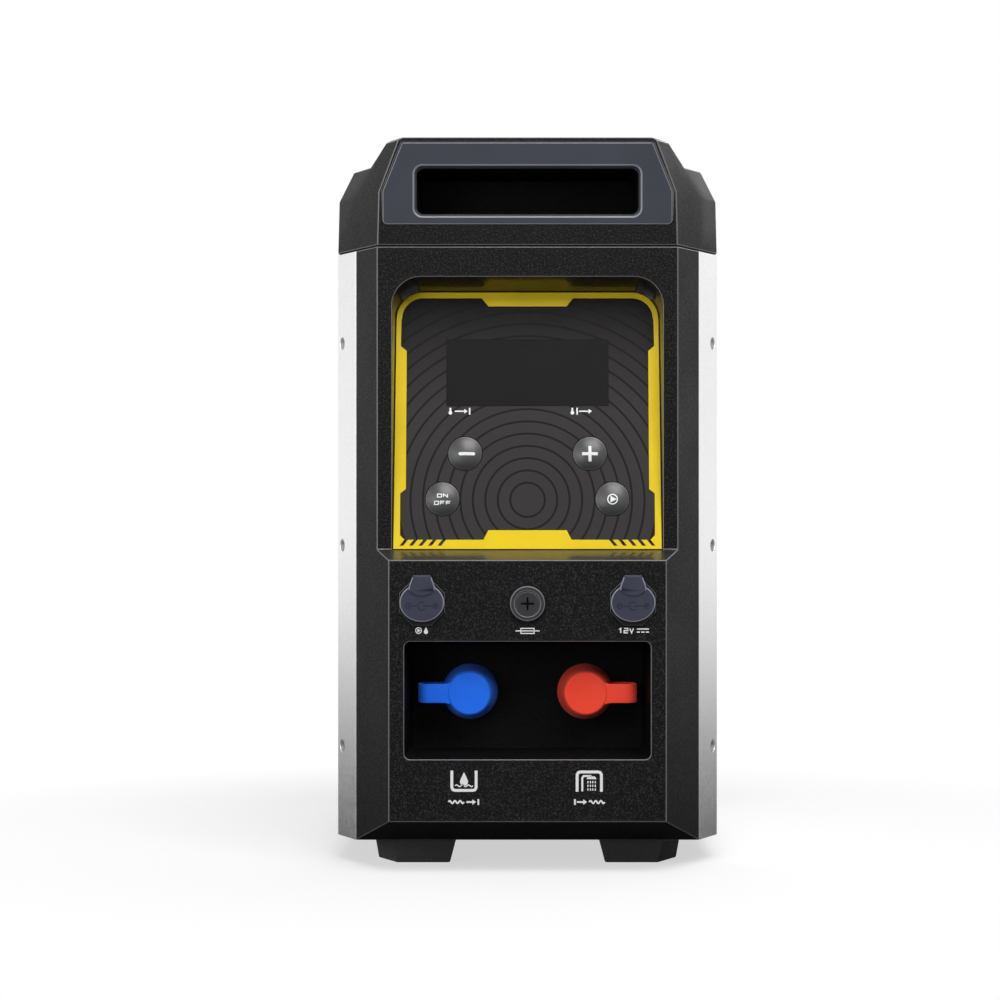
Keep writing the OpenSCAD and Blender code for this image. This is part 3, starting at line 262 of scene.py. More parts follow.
def soft_rubber(name, colour, roughness, grain=900):
    """Matt rubber with a powdery skin."""
    m = Material(name, colour, roughness, Sheen_Weight=0.06, Sheen_Roughness=0.5)
    m.set("Specular IOR Level", 0.2)
    m.bump(m.noise(grain, 3, 0.6), 0.025 * MM, 0.8)
    dust = m.noise(60, 4, 0.6)
    paler = tuple(min(1, c * 1.15 + 0.004) for c in colour[:3]) + (1,)
    m.colour(m.blend(m.spread(dust, 0.45, 0.75), colour, paler))
    m.roughness(m.spread(dust, 0.3, 0.7, roughness - 0.07, roughness + 0.07))
    return m.mat


def brushed_metal(name, colour, roughness):
    """Metal with fine scratches along Y."""
    m = Material(name, colour, roughness, 1.0)
    across, along = 2600, 30
    fine = m.noise(1, 3, 0.6, m.stretched((across, along, across)))
    broad = m.noise(1, 3, 0.6, m.stretched((across * 0.3, along * 0.3, across * 0.3)))
    m.bump(fine, 0.0012 * MM, 0.7)
    both = m.math("MULTIPLY_ADD", broad, 0.5, m.math("MULTIPLY", fine, 0.5))
    m.colour(m.blend(m.spread(both, 0.4, 0.58), scaled(colour, 0.93), colour))
    m.roughness(m.spread(both, 0.38, 0.62, roughness - 0.04, roughness + 0.06))
    return m.mat


def plain_metal(name, colour, roughness, stain=None):
    """Turned, cast or rolled metal with faint clouding and, where stain is given, tarnish."""
    m = Material(name, colour, roughness, 1.0)
    cloud = m.noise(70, 5, 0.6)
    m.bump(m.noise(1400, 2), 0.008 * MM, 0.6)
    m.colour(m.blend(m.spread(cloud, 0.4, 0.75), colour, stain or scaled(colour, 0.8)))
    m.roughness(m.spread(cloud, 0.3, 0.7, roughness - 0.06, roughness + 0.12))
    return m.mat


def height_in(m, low, high):
    """0 at the height low and 1 at the height high."""
    parts = m.add("ShaderNodeSeparateXYZ")
    m.link(m.coords, parts.inputs[0])
    return m.spread(parts.outputs["Z"], low, high)


def ringed_film(name, colour, line):
    """The panel's film: darker rings round the middle of the on/off button, and painted shade that darkens the
    film and its rings towards the top, under the recess's overhang.
    """
    pitch, first, width = 6.5 * MM, 9 * MM, 1.05 * MM
    shade_from, shade_to = 62 * MM, 4 * MM  # below the panel's top
    m = Material(name, colour, 0.46)
    m.set("Specular IOR Level", 0.1)
    offset = m.add("ShaderNodeVectorMath", operation="SUBTRACT")
    m.link(m.coords, offset.inputs[0])
    offset.inputs[1].default_value = panel.at(0, on_panel("button_power")[1])
    length = m.add("ShaderNodeVectorMath", operation="LENGTH")
    m.link(offset.outputs["Vector"], length.inputs[0])
    turns = m.math("DIVIDE", m.math("SUBTRACT", length.outputs["Value"], first - pitch / 2), pitch)
    away = m.math("ABSOLUTE", m.math("SUBTRACT", m.math("FRACT", turns), 0.5))
    half = width / pitch / 2
    ring = m.spread(away, half * 0.8, half * 1.25, 1, 0)
    outside = m.math("GREATER_THAN", turns, 0)
    top = box_of("control_panel")[1].z
    # Painted shade: the film and its ring lines darken towards the top, where the recess's overhang shades the
    # panel.
    height = height_in(m, top - shade_from, top - shade_to)
    shaded_film = m.blend(height, colour, scaled(colour, 0.15))
    darker = m.blend(height, line, scaled(line, 0.5))
    tone = m.noise(30, 2)
    base = m.blend(m.spread(tone, 0.3, 0.7, 0, 0.08), shaded_film, (0, 0, 0, 1))
    m.colour(m.blend(m.math("MULTIPLY", ring, outside), base, darker))
    m.bump(m.noise(1800, 2), 0.01 * MM, 0.5)
    m.roughness(m.spread(m.noise(300, 3), 0.3, 0.7, 0.42, 0.52))
    return m.mat


def display_film(name):
    """Smoked window with a faint haze."""
    m = Material(name, linear(18, 18, 19), 0.34, Specular_IOR_Level=0.1)
    haze = m.noise(45, 3)
    m.roughness(m.spread(haze, 0.3, 0.7, 0.33, 0.36))
    m.colour(m.blend(m.spread(haze, 0.3, 0.7), linear(17, 17, 18), linear(19, 19, 20)))
    m.bump(m.noise(900, 2), 0.003 * MM, 0.4)
    return m.mat


def circuit_board(name):
    """Green lacquer over faint copper tracks."""
    m = Material(name, (0.02, 0.13, 0.05, 1), 0.35)
    tracks = m.noise(1, 0, 0.0, m.stretched((260, 260, 900)))
    m.colour(m.blend(m.spread(tracks, 0.49, 0.51), (0.012, 0.09, 0.035, 1), (0.04, 0.2, 0.08, 1)))
    m.bump(tracks, 0.03 * MM, 0.6)
    return m.mat


def glass_tube(name):
    """Clear glass with a faint frost."""
    m = Material(name, (0.9, 0.93, 0.93, 1), 0.12, Transmission_Weight=0.7)
    m.roughness(m.spread(m.noise(200, 2), 0.3, 0.7, 0.08, 0.2))
    m.bump(m.noise(500, 2), 0.004 * MM, 0.5)
    return m.mat


# Each finish: how it is made, and what that takes after the name. A colour written out as four
# numbers is linear, from 0 to 1.
FINISHES = {
    "cover_plastic": (grained_plastic, grey(15), grey(66), 0.5),
    # Painted highlight: a light grey copy of the black cover plastic on the rounded edges of the covers and
    # sockets, which are glossier as well.
    "cover_edge": (smooth_plastic, linear(96, 96, 97), 0.35),
    "cover_liner": (smooth_plastic, linear(22, 20, 17), 0.38, 0.5, 1.0),
    # Painted shade: a darker copy of the cover plastic inside the water connections' recess, the finger pockets
    # and the fuse cap's crossed slot.
    "cover_inside": (grained_plastic, grey(6), grey(26), 0.6),
    "foot_plastic": (grained_plastic, grey(76), grey(96), 0.6, 0.2, 1100),
    "side_steel": (brushed_metal, (0.83, 0.83, 0.835, 1), 0.34),
    "plain_steel": (plain_metal, (0.38, 0.38, 0.39, 1), 0.6),
    "zinc": (plain_metal, (0.6, 0.61, 0.62, 1), 0.42),
    "copper": (plain_metal, (0.82, 0.42, 0.25, 1), 0.3, (0.4, 0.2, 0.13, 1)),
    "brass": (plain_metal, (0.79, 0.6, 0.26, 1), 0.28, (0.5, 0.36, 0.16, 1)),
    "trim_grey": (smooth_plastic, linear(58, 61, 69), 0.5, 0, 0.12),
    # Painted highlight: a lighter copy of the grip trims' grey on their rounded edges, which are glossier as well.
    "trim_edge": (smooth_plastic, linear(116, 118, 124), 0.35),
    "panel_film": (ringed_film, linear(54, 51, 52), linear(20, 18, 19)),
    "panel_yellow": (smooth_plastic, linear(233, 202, 29), 0.38, 0, 0.2),
    "display_black": (display_film,),
    "button_grey": (smooth_plastic, linear(50, 51, 52), 0.36, 0, 0.6),
    # Painted highlight: a lighter copy of the buttons' grey on their rounded rims, which are glossier as well.
    "button_edge": (smooth_plastic, linear(120, 121, 124), 0.3),
    "socket_black": (smooth_plastic, linear(24, 24, 25), 0.42, 0, 0.15),
    # Painted highlight: a pale grey on the rounded edges of the fuse holder and cap, which are glossier as well.
    "fuse_edge": (smooth_plastic, linear(112, 113, 116), 0.4, 0, 0.3),
    "fuse_black": (smooth_plastic, linear(43, 43, 45), 0.45, 0, 0.25),
    "rubber_dark": (soft_rubber, linear(52, 54, 70), 0.55),
    # Painted shade: a darker copy of the covers' rubber for the raised polarity signs, standing in for the shade
    # in their moulded lines.
    "rubber_sign": (soft_rubber, linear(40, 42, 54), 0.6),
    # Painted highlight: a lighter copy of the covers' rubber on their rounded rims, which are a little glossier.
    "rubber_edge": (soft_rubber, linear(132, 134, 146), 0.5),
    "cap_blue": (soft_rubber, linear(28, 112, 248), 0.5, 1200),
    "cap_red": (soft_rubber, linear(248, 72, 50), 0.5, 1200),
    "fuse_glass": (glass_tube,),
    "board_green": (circuit_board,),
    "ceramic_white": (smooth_plastic, linear(232, 228, 218), 0.2, 0.4),
    "white_plastic": (smooth_plastic, linear(228, 228, 224), 0.4),
    "module_grey": (smooth_plastic, linear(52, 52, 54), 0.45),
    "white_ink": (smooth_plastic, grey(238), 0.5),
}
materials = {name: make(name, *rest) for name, (make, *rest) in FINISHES.items()}

for name, node in nodes.items():
    for place in node.material_slots:
        place.material = materials[slot_of[name]]


# ---------- meshes ----------

def finish_mesh(name, bm, material, body, angle=35, others=()):
    """Makes an object of a bmesh, smooth up to an angle, which rides on a body."""
    mesh = bpy.data.meshes.new(name)
    bm.to_mesh(mesh)
    bm.free()
    for key in (material, *others):
        mesh.materials.append(materials[key])
    mesh.shade_smooth()
    mesh.set_sharp_from_angle(angle=math.radians(angle))
    piece = bpy.data.objects.new(name, mesh)
    bpy.context.scene.collection.objects.link(piece)
    if body:
        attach(piece, body)
    return piece


def solid_of(node):
    """The node's mesh as one welded shell whose flat faces are whole again."""
    weld, flat = 0.002 * MM, math.radians(0.6)
    bm = bmesh.new()
    bm.from_mesh(nodes[node].data)
    bmesh.ops.remove_doubles(bm, verts=bm.verts, dist=weld)
    bmesh.ops.dissolve_limit(bm, angle_limit=flat, verts=bm.verts, edges=bm.edges)
    return bm


# How far behind the front cover's face the glossier liner and the painted shade of its recesses start
SKIN = MM


def in_panel_recess(c, normal):
    """Whether a place on the front cover is on the sides of the panel's recess or on its sill."""
    low, high = box_of("control_panel")
    beside, below, above, behind = 9 * MM, 7 * MM, 12 * MM, 4 * MM
    facing_front = abs(normal.y) >= 0.75
    return (abs(c.x) < high.x + beside and low.z - below < c.z < high.z + above
            and box_of("front_cover")[0].y + SKIN < c.y < high.y + behind and not facing_front)


def in_water_recess(c):
    """Whether a place on the front cover is inside the recess of the water connections."""
    low, high = box_of("inlet_cap")
    half_width, above, behind = 68 * MM, 24 * MM, 3 * MM
    return (abs(c.x) < half_width and low.z - above < c.z < high.z + above
            and box_of("front_cover")[0].y + SKIN < c.y < high.y + behind)


def in_finger_pocket(c):
    """Whether a place on the top cover is inside one of the finger pockets."""
    low, high = box_of("grip_trim_front")
    half_width, depth, rim = 58.5 * MM, 42 * MM, 6 * MM
    return (abs(c.x) < half_width and low.z < c.z < high.z - rim
            and -high.y - depth < abs(c.y) < -high.y)


def in_coin_slot(c):
    """Whether a place on the fuse's cap is in its crossed slot."""
    front_y, centre = box_of("fuse_cap")[0].y, middle("fuse_cap")
    shallowest, deepest, radius = 0.02 * MM, 1.2 * MM, 3.9 * MM
    return (shallowest < c.y - front_y < deepest
            and math.hypot(c.x - centre.x, c.z - centre.z) < radius)


def liner_or_shade_of(node, face):
    """The finish of a face inside one of the covers' recesses, or nothing: a glossier liner in the panel's recess,
    and painted shade, a darker copy of the plastic, in the water connections' recess, the finger pockets and the
    fuse cap's crossed slot.
    """
    c = face.calc_center_median()
    if node == "fuse_cap" and in_coin_slot(c):
        return "cover_inside"
    if node == "front_cover" and in_panel_recess(c, face.normal):
        return "cover_liner"
    if node == "front_cover" and in_water_recess(c) or node == "top_cover" and in_finger_pocket(c):
        return "cover_inside"
    return None


def narrow_faces(bm, limit, least):
    """The faces of every patch between sharp edges that is less than the given width across."""
    seen, narrow = set(), set()
    for first in bm.faces:
        if first in seen:
            continue
        patch, todo, border = {first}, [first], 0.0
        while todo:
            for edge in todo.pop().edges:
                if len(edge.link_faces) == 2 and edge.calc_face_angle(0) <= limit:
                    todo += [f for f in edge.link_faces if f not in patch]
                    patch.update(edge.link_faces)
                else:
                    border += edge.calc_length()
        seen |= patch
        if 2 * sum(f.calc_area() for f in patch) < least * border:
            narrow |= patch
    return narrow


# Edges sharper than this angle are rounded, in this many steps
SHARP = math.radians(24)
STEPS = 2
# Faces under this many radii across keep their sharp edges, as there is no room to round them
NARROW = 2.3
# Covers whose narrow faces are found one by one, as more rounded edges would fold their faces
FACE_BY_FACE = ("top_cover", "rear_cover")


def rounded(node, radius, edge=None, finish=None):
    """Stands for a CAD node with its sharp edges rounded, which may have a finish of their own: mostly a lighter,
    glossier copy that paints a highlight along them.
    """
    bm = solid_of(node)
    keys = [finish or slot_of[node], edge or finish or slot_of[node]]

    def finish_faces(faces, index):
        for face in faces:
            liner_or_shade = liner_or_shade_of(node, face)
            if liner_or_shade and liner_or_shade not in keys:
                keys.append(liner_or_shade)
            face.material_index = keys.index(liner_or_shade) if liner_or_shade else index

    finish_faces(bm.faces, 0)
    least = NARROW * radius
    if node in FACE_BY_FACE:
        narrow = {f for f in bm.faces if 2 * f.calc_area() < least * f.calc_perimeter()}
    else:
        narrow = narrow_faces(bm, SHARP, least)
    edges = [e for e in bm.edges if len(e.link_faces) == 2 and e.calc_face_angle(0) > SHARP
             and not narrow.intersection(e.link_faces)]
    done = bmesh.ops.bevel(bm, geom=edges, offset=radius, offset_type="OFFSET", segments=STEPS,
                           profile=0.5, affect="EDGES", clamp_overlap=False, miter_outer="ARC",
                           material=-1)
    # The rounded edges take the edge finish, mostly a painted highlight.
    finish_faces(done["faces"], 1)
    piece = finish_mesh("shaped_" + node, bm, keys[0], body_of[node],
                        others=keys[1:])
    steady = piece.modifiers.new("flat_faces", "WEIGHTED_NORMAL")
    steady.weight = 100
    steady.keep_sharp = True
    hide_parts(node)


# Each node whose edges are rounded: the radius in millimetres, then the finishes of the edges, most of them
# lighter copies of the faces' own that paint a highlight along the edges, and of the faces where they aren't the
# slot's own
ROUNDED = {
    "front_cover": (0.45, "cover_edge"),
    "rear_cover": (0.45, "cover_edge"),
    "top_cover": (0.5, "cover_edge"),
    "side_panel_left": (0.25,),
    "side_panel_right": (0.25,),
    "foot_front_left": (0.8,),
    "foot_front_right": (0.8,),
    "foot_rear_left": (0.8,),
    "foot_rear_right": (0.8,),
    "grip_trim_front": (0.6, "trim_edge"),
    "grip_trim_rear": (0.6, "trim_edge"),
    "pump_socket_cover": (0.6, "rubber_edge"),
    "power_socket_cover": (0.6, "rubber_edge"),
    "fuse_holder": (0.6, "fuse_edge", "fuse_black"),
    "fuse_cap": (0.2, "fuse_edge", "fuse_black"),
    "pump_socket": (0.2, "cover_edge"),
    "power_socket": (0.2, "cover_edge"),
    "button_minus": (0.35, "button_edge"),
    "button_plus": (0.35, "button_edge"),
    "button_power": (0.35, "button_edge"),
    "button_pump": (0.35, "button_edge"),
    "inlet_cap": (0.3,),
    "outlet_cap": (0.3,),
}


def round_edges():
    for node, (radius, *finishes) in ROUNDED.items():
        rounded(node, radius * MM, *finishes)


def rounded_section(width, height, radius, steps=4):
    """The outline of a bar's section, across and up."""
    points = []
    for x, y, turn in ((1, 1, 0), (-1, 1, 90), (-1, -1, 180), (1, -1, 270)):
        across, up = x * (width / 2 - radius), y * (height / 2 - radius)
        for i in range(steps + 1):
            a = math.radians(turn + 90 * i / steps)
            points.append((across + radius * math.cos(a), up + radius * math.sin(a)))
    return points


STRAP_THICK = 2 * MM
STRAP_BEND = 5 * MM
STRAP_CORNER = 0.5 * MM
# How far a strap reaches into its cap, and how much wider it is where it leaves it
STRAP_START = 2.4 * MM
STRAP_FLARE = 0.16


def strap_path(strap, side):
    """The strap's middle line, as the distance to the side and y, and the y of its two runs."""
    low, high = box_of(strap)
    near, far = (low.x, high.x) if side > 0 else (-high.x, -low.x)
    start, outer = near - STRAP_START, far - STRAP_THICK / 2
    front_y, back_y = low.y + STRAP_THICK / 2, high.y - STRAP_THICK / 2
    bend_x = outer - STRAP_BEND
    front_bend_y, back_bend_y = front_y + STRAP_BEND, back_y - STRAP_BEND

    def bend(centre_y, turn):
        angles = [math.radians(turn + 90 * i / 8) for i in range(1, 9)]
        return [(bend_x + STRAP_BEND * math.cos(a), centre_y + STRAP_BEND * math.sin(a))
                for a in angles]

    path = [(start + (bend_x - start) * i / 8, front_y) for i in range(9)]
    path += bend(front_bend_y, -90)
    path += [(outer, front_bend_y + (back_bend_y - front_bend_y) * i / 5) for i in range(1, 5)]
    path += bend(back_bend_y, 0)
    path += [(bend_x - STRAP_BEND * i / 2, back_y) for i in range(1, 5)]
    return path, front_y, back_y


def cap_strap(side, strap):
    """A cap's strap, from inside the cap round its bends and back to the recess's wall."""
    path, front_y, back_y = strap_path(strap, side)
    low, high = box_of(strap)
    middle_z = (low.z + high.z) / 2
    section = rounded_section(high.z - low.z, STRAP_THICK, STRAP_CORNER)
    bm = bmesh.new()
    rings = []
    for i, (x, y) in enumerate(path):
        a, b = Vector(path[max(0, i - 1)]), Vector(path[min(len(path) - 1, i + 1)])
        along = (b - a).normalized()
        across = Vector((along.y, -along.x))
        flare = 1 + STRAP_FLARE * max(0.0, 1 - i / 2.5)
        rings.append([bm.verts.new((side * (x + across.x * h), y + across.y * h,
                                    middle_z + w * flare)) for w, h in section])
    for first, second in zip(rings, rings[1:]):
        for i, j in zip(range(len(section)), [*range(1, len(section)), 0]):
            bm.faces.new([first[i], first[j], second[j], second[i]])
    bm.faces.new(rings[0][::-1])
    bm.faces.new(rings[-1])
    bmesh.ops.recalc_face_normals(bm, faces=bm.faces)
    piece = finish_mesh("band_" + strap, bm, slot_of[strap], None, 40)
    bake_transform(piece)
    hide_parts(strap)


# ---------- printed and raised marks ----------

# How far printed ink stands off the surface
PRINT = 0.04 * MM
# The longest side, in millimetres, that an outline keeps before it is dropped onto the surface
MARK_STEP = 0.7


def arc(centre, radius, start, end, steps=16):
    """Points along an arc, with its angles in degrees."""
    angles = [math.radians(start + (end - start) * i / steps) for i in range(steps + 1)]
    return [(centre[0] + radius * math.cos(a), centre[1] + radius * math.sin(a)) for a in angles]


def circle(centre, radius):
    return arc(centre, radius, 0, 360, 32)[:-1]


def offset_line(points, distance, closed):
    """The points moved sideways by distance, mitred at each corner."""
    moved = []
    last = len(points) - 1
    for i, p in enumerate(points):
        before = points[i - 1] if closed or i > 0 else None
        after = points[(i + 1) % len(points)] if closed or i < last else None
        sides = []
        for a, b in ((before, p), (p, after)):
            if a and b:
                along = Vector((b[0] - a[0], b[1] - a[1])).normalized()
                sides.append(Vector((-along.y, along.x)))
        side = sum(sides, Vector((0, 0))).normalized()
        sharpest = 0.4  # keeps the tip of a sharp corner short
        side *= distance / max(sharpest, side.dot(sides[0]))
        moved.append((p[0] + side.x, p[1] + side.y))
    return moved


def stroke(points, width, closed=False):
    """The outlines of a line of the given width."""
    left, right = (offset_line(points, side * width / 2, closed) for side in (1, -1))
    return [left, right] if closed else [left + right[::-1]]


def bar(start, end, width):
    """A straight bar with round ends."""
    turn = math.degrees(math.atan2(end[1] - start[1], end[0] - start[0]))
    return [arc(start, width / 2, turn + 90, turn + 270, 8)
            + arc(end, width / 2, turn - 90, turn + 90, 8)]


def finer(outline, step):
    """The outline with no side longer than step."""
    out = []
    for a, b in zip(outline, outline[1:] + outline[:1]):
        parts = max(1, math.ceil(math.dist(a, b) / step))
        out += [(a[0] + (b[0] - a[0]) * i / parts, a[1] + (b[1] - a[1]) * i / parts)
                for i in range(parts)]
    return out


def mark(name, node, plane, at, shapes, material="white_ink", raised=0.0):
    """Draws shapes, in millimetres round the place at (metres), on the outside of a CAD node.

    Each shape is a list of outlines, the first the outside and the others holes. Every point is
    dropped onto the node along the plane's normal. A raised mark stands up from the surface by
    that height.
    """
    data = nodes[node].data
    tree = BVHTree.FromPolygons([v.co for v in data.vertices], [p.vertices for p in data.polygons])
    bm = bmesh.new()
    for shape in shapes:
        outlines = [finer(line, MARK_STEP) for line in shape]
        verts = [bm.verts.new((x, y, 0)) for line in outlines for x, y in line]
        for tri in tessellate_polygon([[Vector((x, y, 0)) for x, y in line] for line in outlines]):
            bm.faces.new([verts[i] for i in tri])
    for _ in range(4):
        long_edges = [e for e in bm.edges if e.calc_length() > 1.5 * MARK_STEP]
        if not long_edges:
            break
        bmesh.ops.subdivide_edges(bm, edges=long_edges, cuts=1)
        bmesh.ops.triangulate(bm, faces=bm.faces)
    bmesh.ops.recalc_face_normals(bm, faces=bm.faces)
    for face in bm.faces:
        if face.normal.z < 0:
            face.normal_flip()
    above = 30 * MM
    for v in bm.verts:
        start = plane.at(at[0] + v.co.x * MM, at[1] + v.co.y * MM, above)
        v.co = tree.ray_cast(start, -plane.normal)[0] + plane.normal * (PRINT + raised)
    if raised:
        rim = [e for e in bm.edges if e.is_boundary]
        made = bmesh.ops.extrude_edge_only(bm, edges=rim)["geom"]
        for v in made:
            if isinstance(v, bmesh.types.BMVert):
                v.co -= plane.normal * (raised + 2 * PRINT)
        bmesh.ops.recalc_face_normals(bm, faces=bm.faces)
    finish_mesh(name, bm, material, body_of[node])


def droplet(centre, size):
    """A water drop: a circle below and a point at the top."""
    x, y = centre
    r = size * 0.3
    low = y - size * 0.2
    tip = [(x + r * 0.62 * k, y + size * (0.5 - 0.38 * abs(k))) for k in (0.5, 0, -0.5)]
    return [tip + arc((x, low), r, 150, 390, 20)]


def arrow(tail, tip, width, head):
    """An arrow with a triangular head."""
    along = Vector((tip[0] - tail[0], tip[1] - tail[1])).normalized()
    side = Vector((-along.y, along.x))
    start, end = Vector(tail), Vector(tip)
    neck = end - along * head
    points = [start + side * width / 2, neck + side * width / 2, neck + side * head * 0.75, end,
              neck - side * head * 0.75, neck - side * width / 2, start - side * width / 2]
    return [[tuple(p) for p in points]]


# Each letter's lines, from 0 to 1 across and up, and whether the line closes
LETTERS = {
    "O": [([(0, 0), (1, 0), (1, 1), (0, 1)], True)],
    "N": [([(0, 0), (0, 1), (1, 0), (1, 1)], False)],
    "F": [([(0, 0), (0, 1), (1, 1)], False), ([(0.12, 0.45), (0.85, 0.45)], False)],
    "1": [([(0.15, 0.75), (0.6, 1), (0.6, 0)], False)],
    "2": [([(0, 1), (1, 1), (1, 0.5), (0, 0.5), (0, 0), (1, 0)], False)],
    "V": [([(0, 1), (0.5, 0), (1, 1)], False)],
}


def letters(word, middle_x, low, width, height, line, gap):
    """Plain square letters in a row centred on middle_x."""
    step = width + line + gap
    x = middle_x - (step * len(word) - line - gap) / 2
    shapes = []
    for char in word:
        for points, closed in LETTERS[char]:
            placed = [(x + a * width, low + b * height) for a, b in points]
            shapes.append(stroke(placed, line, closed))
        x += step
    return shapes


def waves(x0, x1, y, height, line):
    """A water line of small waves."""
    count, whole_waves = 24, 3
    points = [(x0 + (x1 - x0) * i / count,
               y + height / 2 * math.sin(i / count * whole_waves * 2 * math.pi))
              for i in range(count + 1)]
    return [stroke(points, line)]


def thermometer(x, height):
    """A thermometer: a bulb below and a stem above it."""
    r, half = height * 0.27, height * 0.13
    stem = [(x + half, height / 2), (x - half, height / 2)]
    start = 90 + math.degrees(math.asin(half / r))
    return [stem + arc((x, r - height / 2), r, start, 540 - start, 18)]


def pump_sign(x, r, line):
    """A circle with a triangle in it, the usual sign of a pump."""
    inner = r - line
    back = x - inner * 0.5
    triangle = [(back, inner * 0.8), (back, -inner * 0.8), (x + inner * 0.95, 0)]
    return [[circle((x, 0), r), circle((x, 0), inner)], [triangle]]


def plus_sign(reach, half):
    """An upright cross that reaches so far, with arms of twice the half width."""
    return [[(-half, reach), (-half, half), (-reach, half), (-reach, -half), (-half, -half),
             (-half, -reach), (half, -reach), (half, -half), (reach, -half), (reach, half),
             (half, half), (half, reach)]]


def upright(x, half, line):
    """A short upright line."""
    return stroke([(x, half), (x, -half)], line)


def level(x0, x1, y, line):
    """A line from left to right."""
    return stroke([(x0, y), (x1, y)], line)


def mark_buttons():
    """The signs on the four buttons."""
    signs = {
        "button_minus": ("minus_sign", [bar((-2.6, 0), (4.4, 0), 1.7)]),
        "button_plus": ("plus_sign", [plus_sign(4.1, 0.8)]),
        "button_power": ("switch_letters", letters("ON", 0, 1.1, 2.1, 1.6, 0.5, 0.5)
                         + letters("OFF", 0, -2.7, 2.1, 1.6, 0.5, 0.5)),
        "button_pump": ("pump_button_sign", pump_sign(0, 2.8, 0.6)),
    }
    for node, (name, shapes) in signs.items():
        mark(name, node, panel, on_panel(node), shapes)


def mark_panel():
    """The signs under the display: the temperatures of the water coming in and going out."""
    label_v = on_panel("button_power")[1] + 46.9 * MM
    size, shaft, head = 3.6, 0.7, 1.7
    inlet = [thermometer(-7.5, size), arrow((-5.2, 0), (1.5, 0), shaft, head),
             upright(2.6, 1.8, 0.8)]
    mark("inlet_label", "control_panel", panel, (-32.9 * MM, label_v), inlet)
    outlet = [thermometer(-4.5, size), upright(-2, 1.8, 0.8),
              arrow((-1, 0), (5.7, 0), shaft, head)]
    mark("outlet_label", "control_panel", panel, (28 * MM, label_v), outlet)


def mark_sockets():
    """The signs below the pump's socket, the fuse and the supply's socket."""
    label_z = 125.8 * MM
    pump_x, fuse_x, supply_x = (middle(n).x for n in ("pump_socket", "fuse_cap", "power_socket"))
    pump = pump_sign(-1.8, 1.7, 0.45) + [droplet((2, 0), 3.6)]
    mark("pump_label", "front_cover", front, (pump_x, label_z), pump)
    case = [(-3.4, -1.3), (3.4, -1.3), (3.4, 1.3), (-3.4, 1.3)]
    fuse = [stroke(case, 0.5, True), level(-6.2, 6.2, 0, 0.5)]
    mark("fuse_label", "front_cover", front, (fuse_x, label_z - 0.2 * MM), fuse)
    dashes = [level(x, x + 1.6, -0.8, 0.6) for x in (2, 4.3, 6.6)]
    supply = letters("12V", -3.6, -1.2, 1.9, 2.3, 0.6, 0.4) + [level(2, 8.2, 0.8, 0.6)] + dashes
    mark("supply_label", "front_cover", front, (supply_x, label_z), supply)


def mark_connections():
    """The signs below the water connections: a filled tank and a shower, with arrows in and out."""
    tank_x, shower_x, label_z = -32.7 * MM, 31.8 * MM, 37.5 * MM
    tank = [(-6.25, 5.2), (-6.25, -3.6), (-5.6, -4.7), (-4.5, -5),
            (4.5, -5), (5.6, -4.7), (6.25, -3.6), (6.25, 5.2)]
    filled = [stroke(tank, 1.45), droplet((0, 0.9), 7), *waves(-4.6, 4.6, -2.6, 0.9, 0.6)]
    mark("water_in_sign", "front_cover", front, (tank_x, 48.5 * MM), filled)
    cabin = stroke([(x, -y) for x, y in tank], 1.45)
    arm = stroke([(-3.6, -5), (-3.6, 1.9), (-2.9, 2.9), (1.1, 2.9)], 1)
    head = [[(-1.5, 1.3), (-0.6, 2.7), (2.9, 2.7), (3.8, 1.3)]]
    drops = [bar((x, y), (x, y - 0.7), 0.6)
             for x in (-0.7, 0.6, 1.8, 3.1) for y in (0.1, -1.8, -3.7)]
    mark("water_out_sign", "front_cover", front, (shower_x, 48 * MM), [cabin, arm, head, *drops])
    into = [*waves(-8, 0, 0, 1.4, 0.8), arrow((1.2, 0), (6.2, 0), 0.9, 1.9),
            upright(7.4, 1.5, 0.9)]
    mark("water_in_label", "front_cover", front, (tank_x, label_z), into)
    out_of = [upright(-7.4, 1.5, 0.9), arrow((-6.4, 0), (-1.2, 0), 0.9, 1.9),
              *waves(0, 8, 0, 1.4, 0.8)]
    mark("water_out_label", "front_cover", front, (shower_x, label_z), out_of)


def mark_covers():
    """The polarity sign on each socket cover: ringed minus, dash, open ring, dash, ringed plus."""
    line, thin, raised = 0.5, 0.4, 0.15 * MM
    rings = [[circle((x, 0), 1.6), circle((x, 0), 1.6 - line)] for x in (-7, 7)]
    minus, plus = ([level(x - 0.7, x + 0.7, 0, thin)] for x in (-7, 7))
    dashes = [level(-5, -2.8, 0, line), level(0.6, 5, 0, line)]
    opened = [stroke(arc((0, 0), 2.1, 45, 315, 20), line)]
    shapes = rings + minus + plus + [stroke([(7, -0.7), (7, 0.7)], thin)] + dashes + opened
    for side, node in (("left", "pump_socket_cover"), ("right", "power_socket_cover")):
        centre = (middle(node).x, box_of(node)[0].z + 8.4 * MM)
        # The signs stand up a little, in a darker rubber that paints the shade of their moulded lines.
        mark("polarity_" + side, node, front, centre, shapes, "rubber_sign", raised)


# ---------- camera, floor and light ----------

def look_at(thing, target):
    thing.rotation_euler = (Vector(target) - thing.location).to_track_quat("-Z", "Y").to_euler()


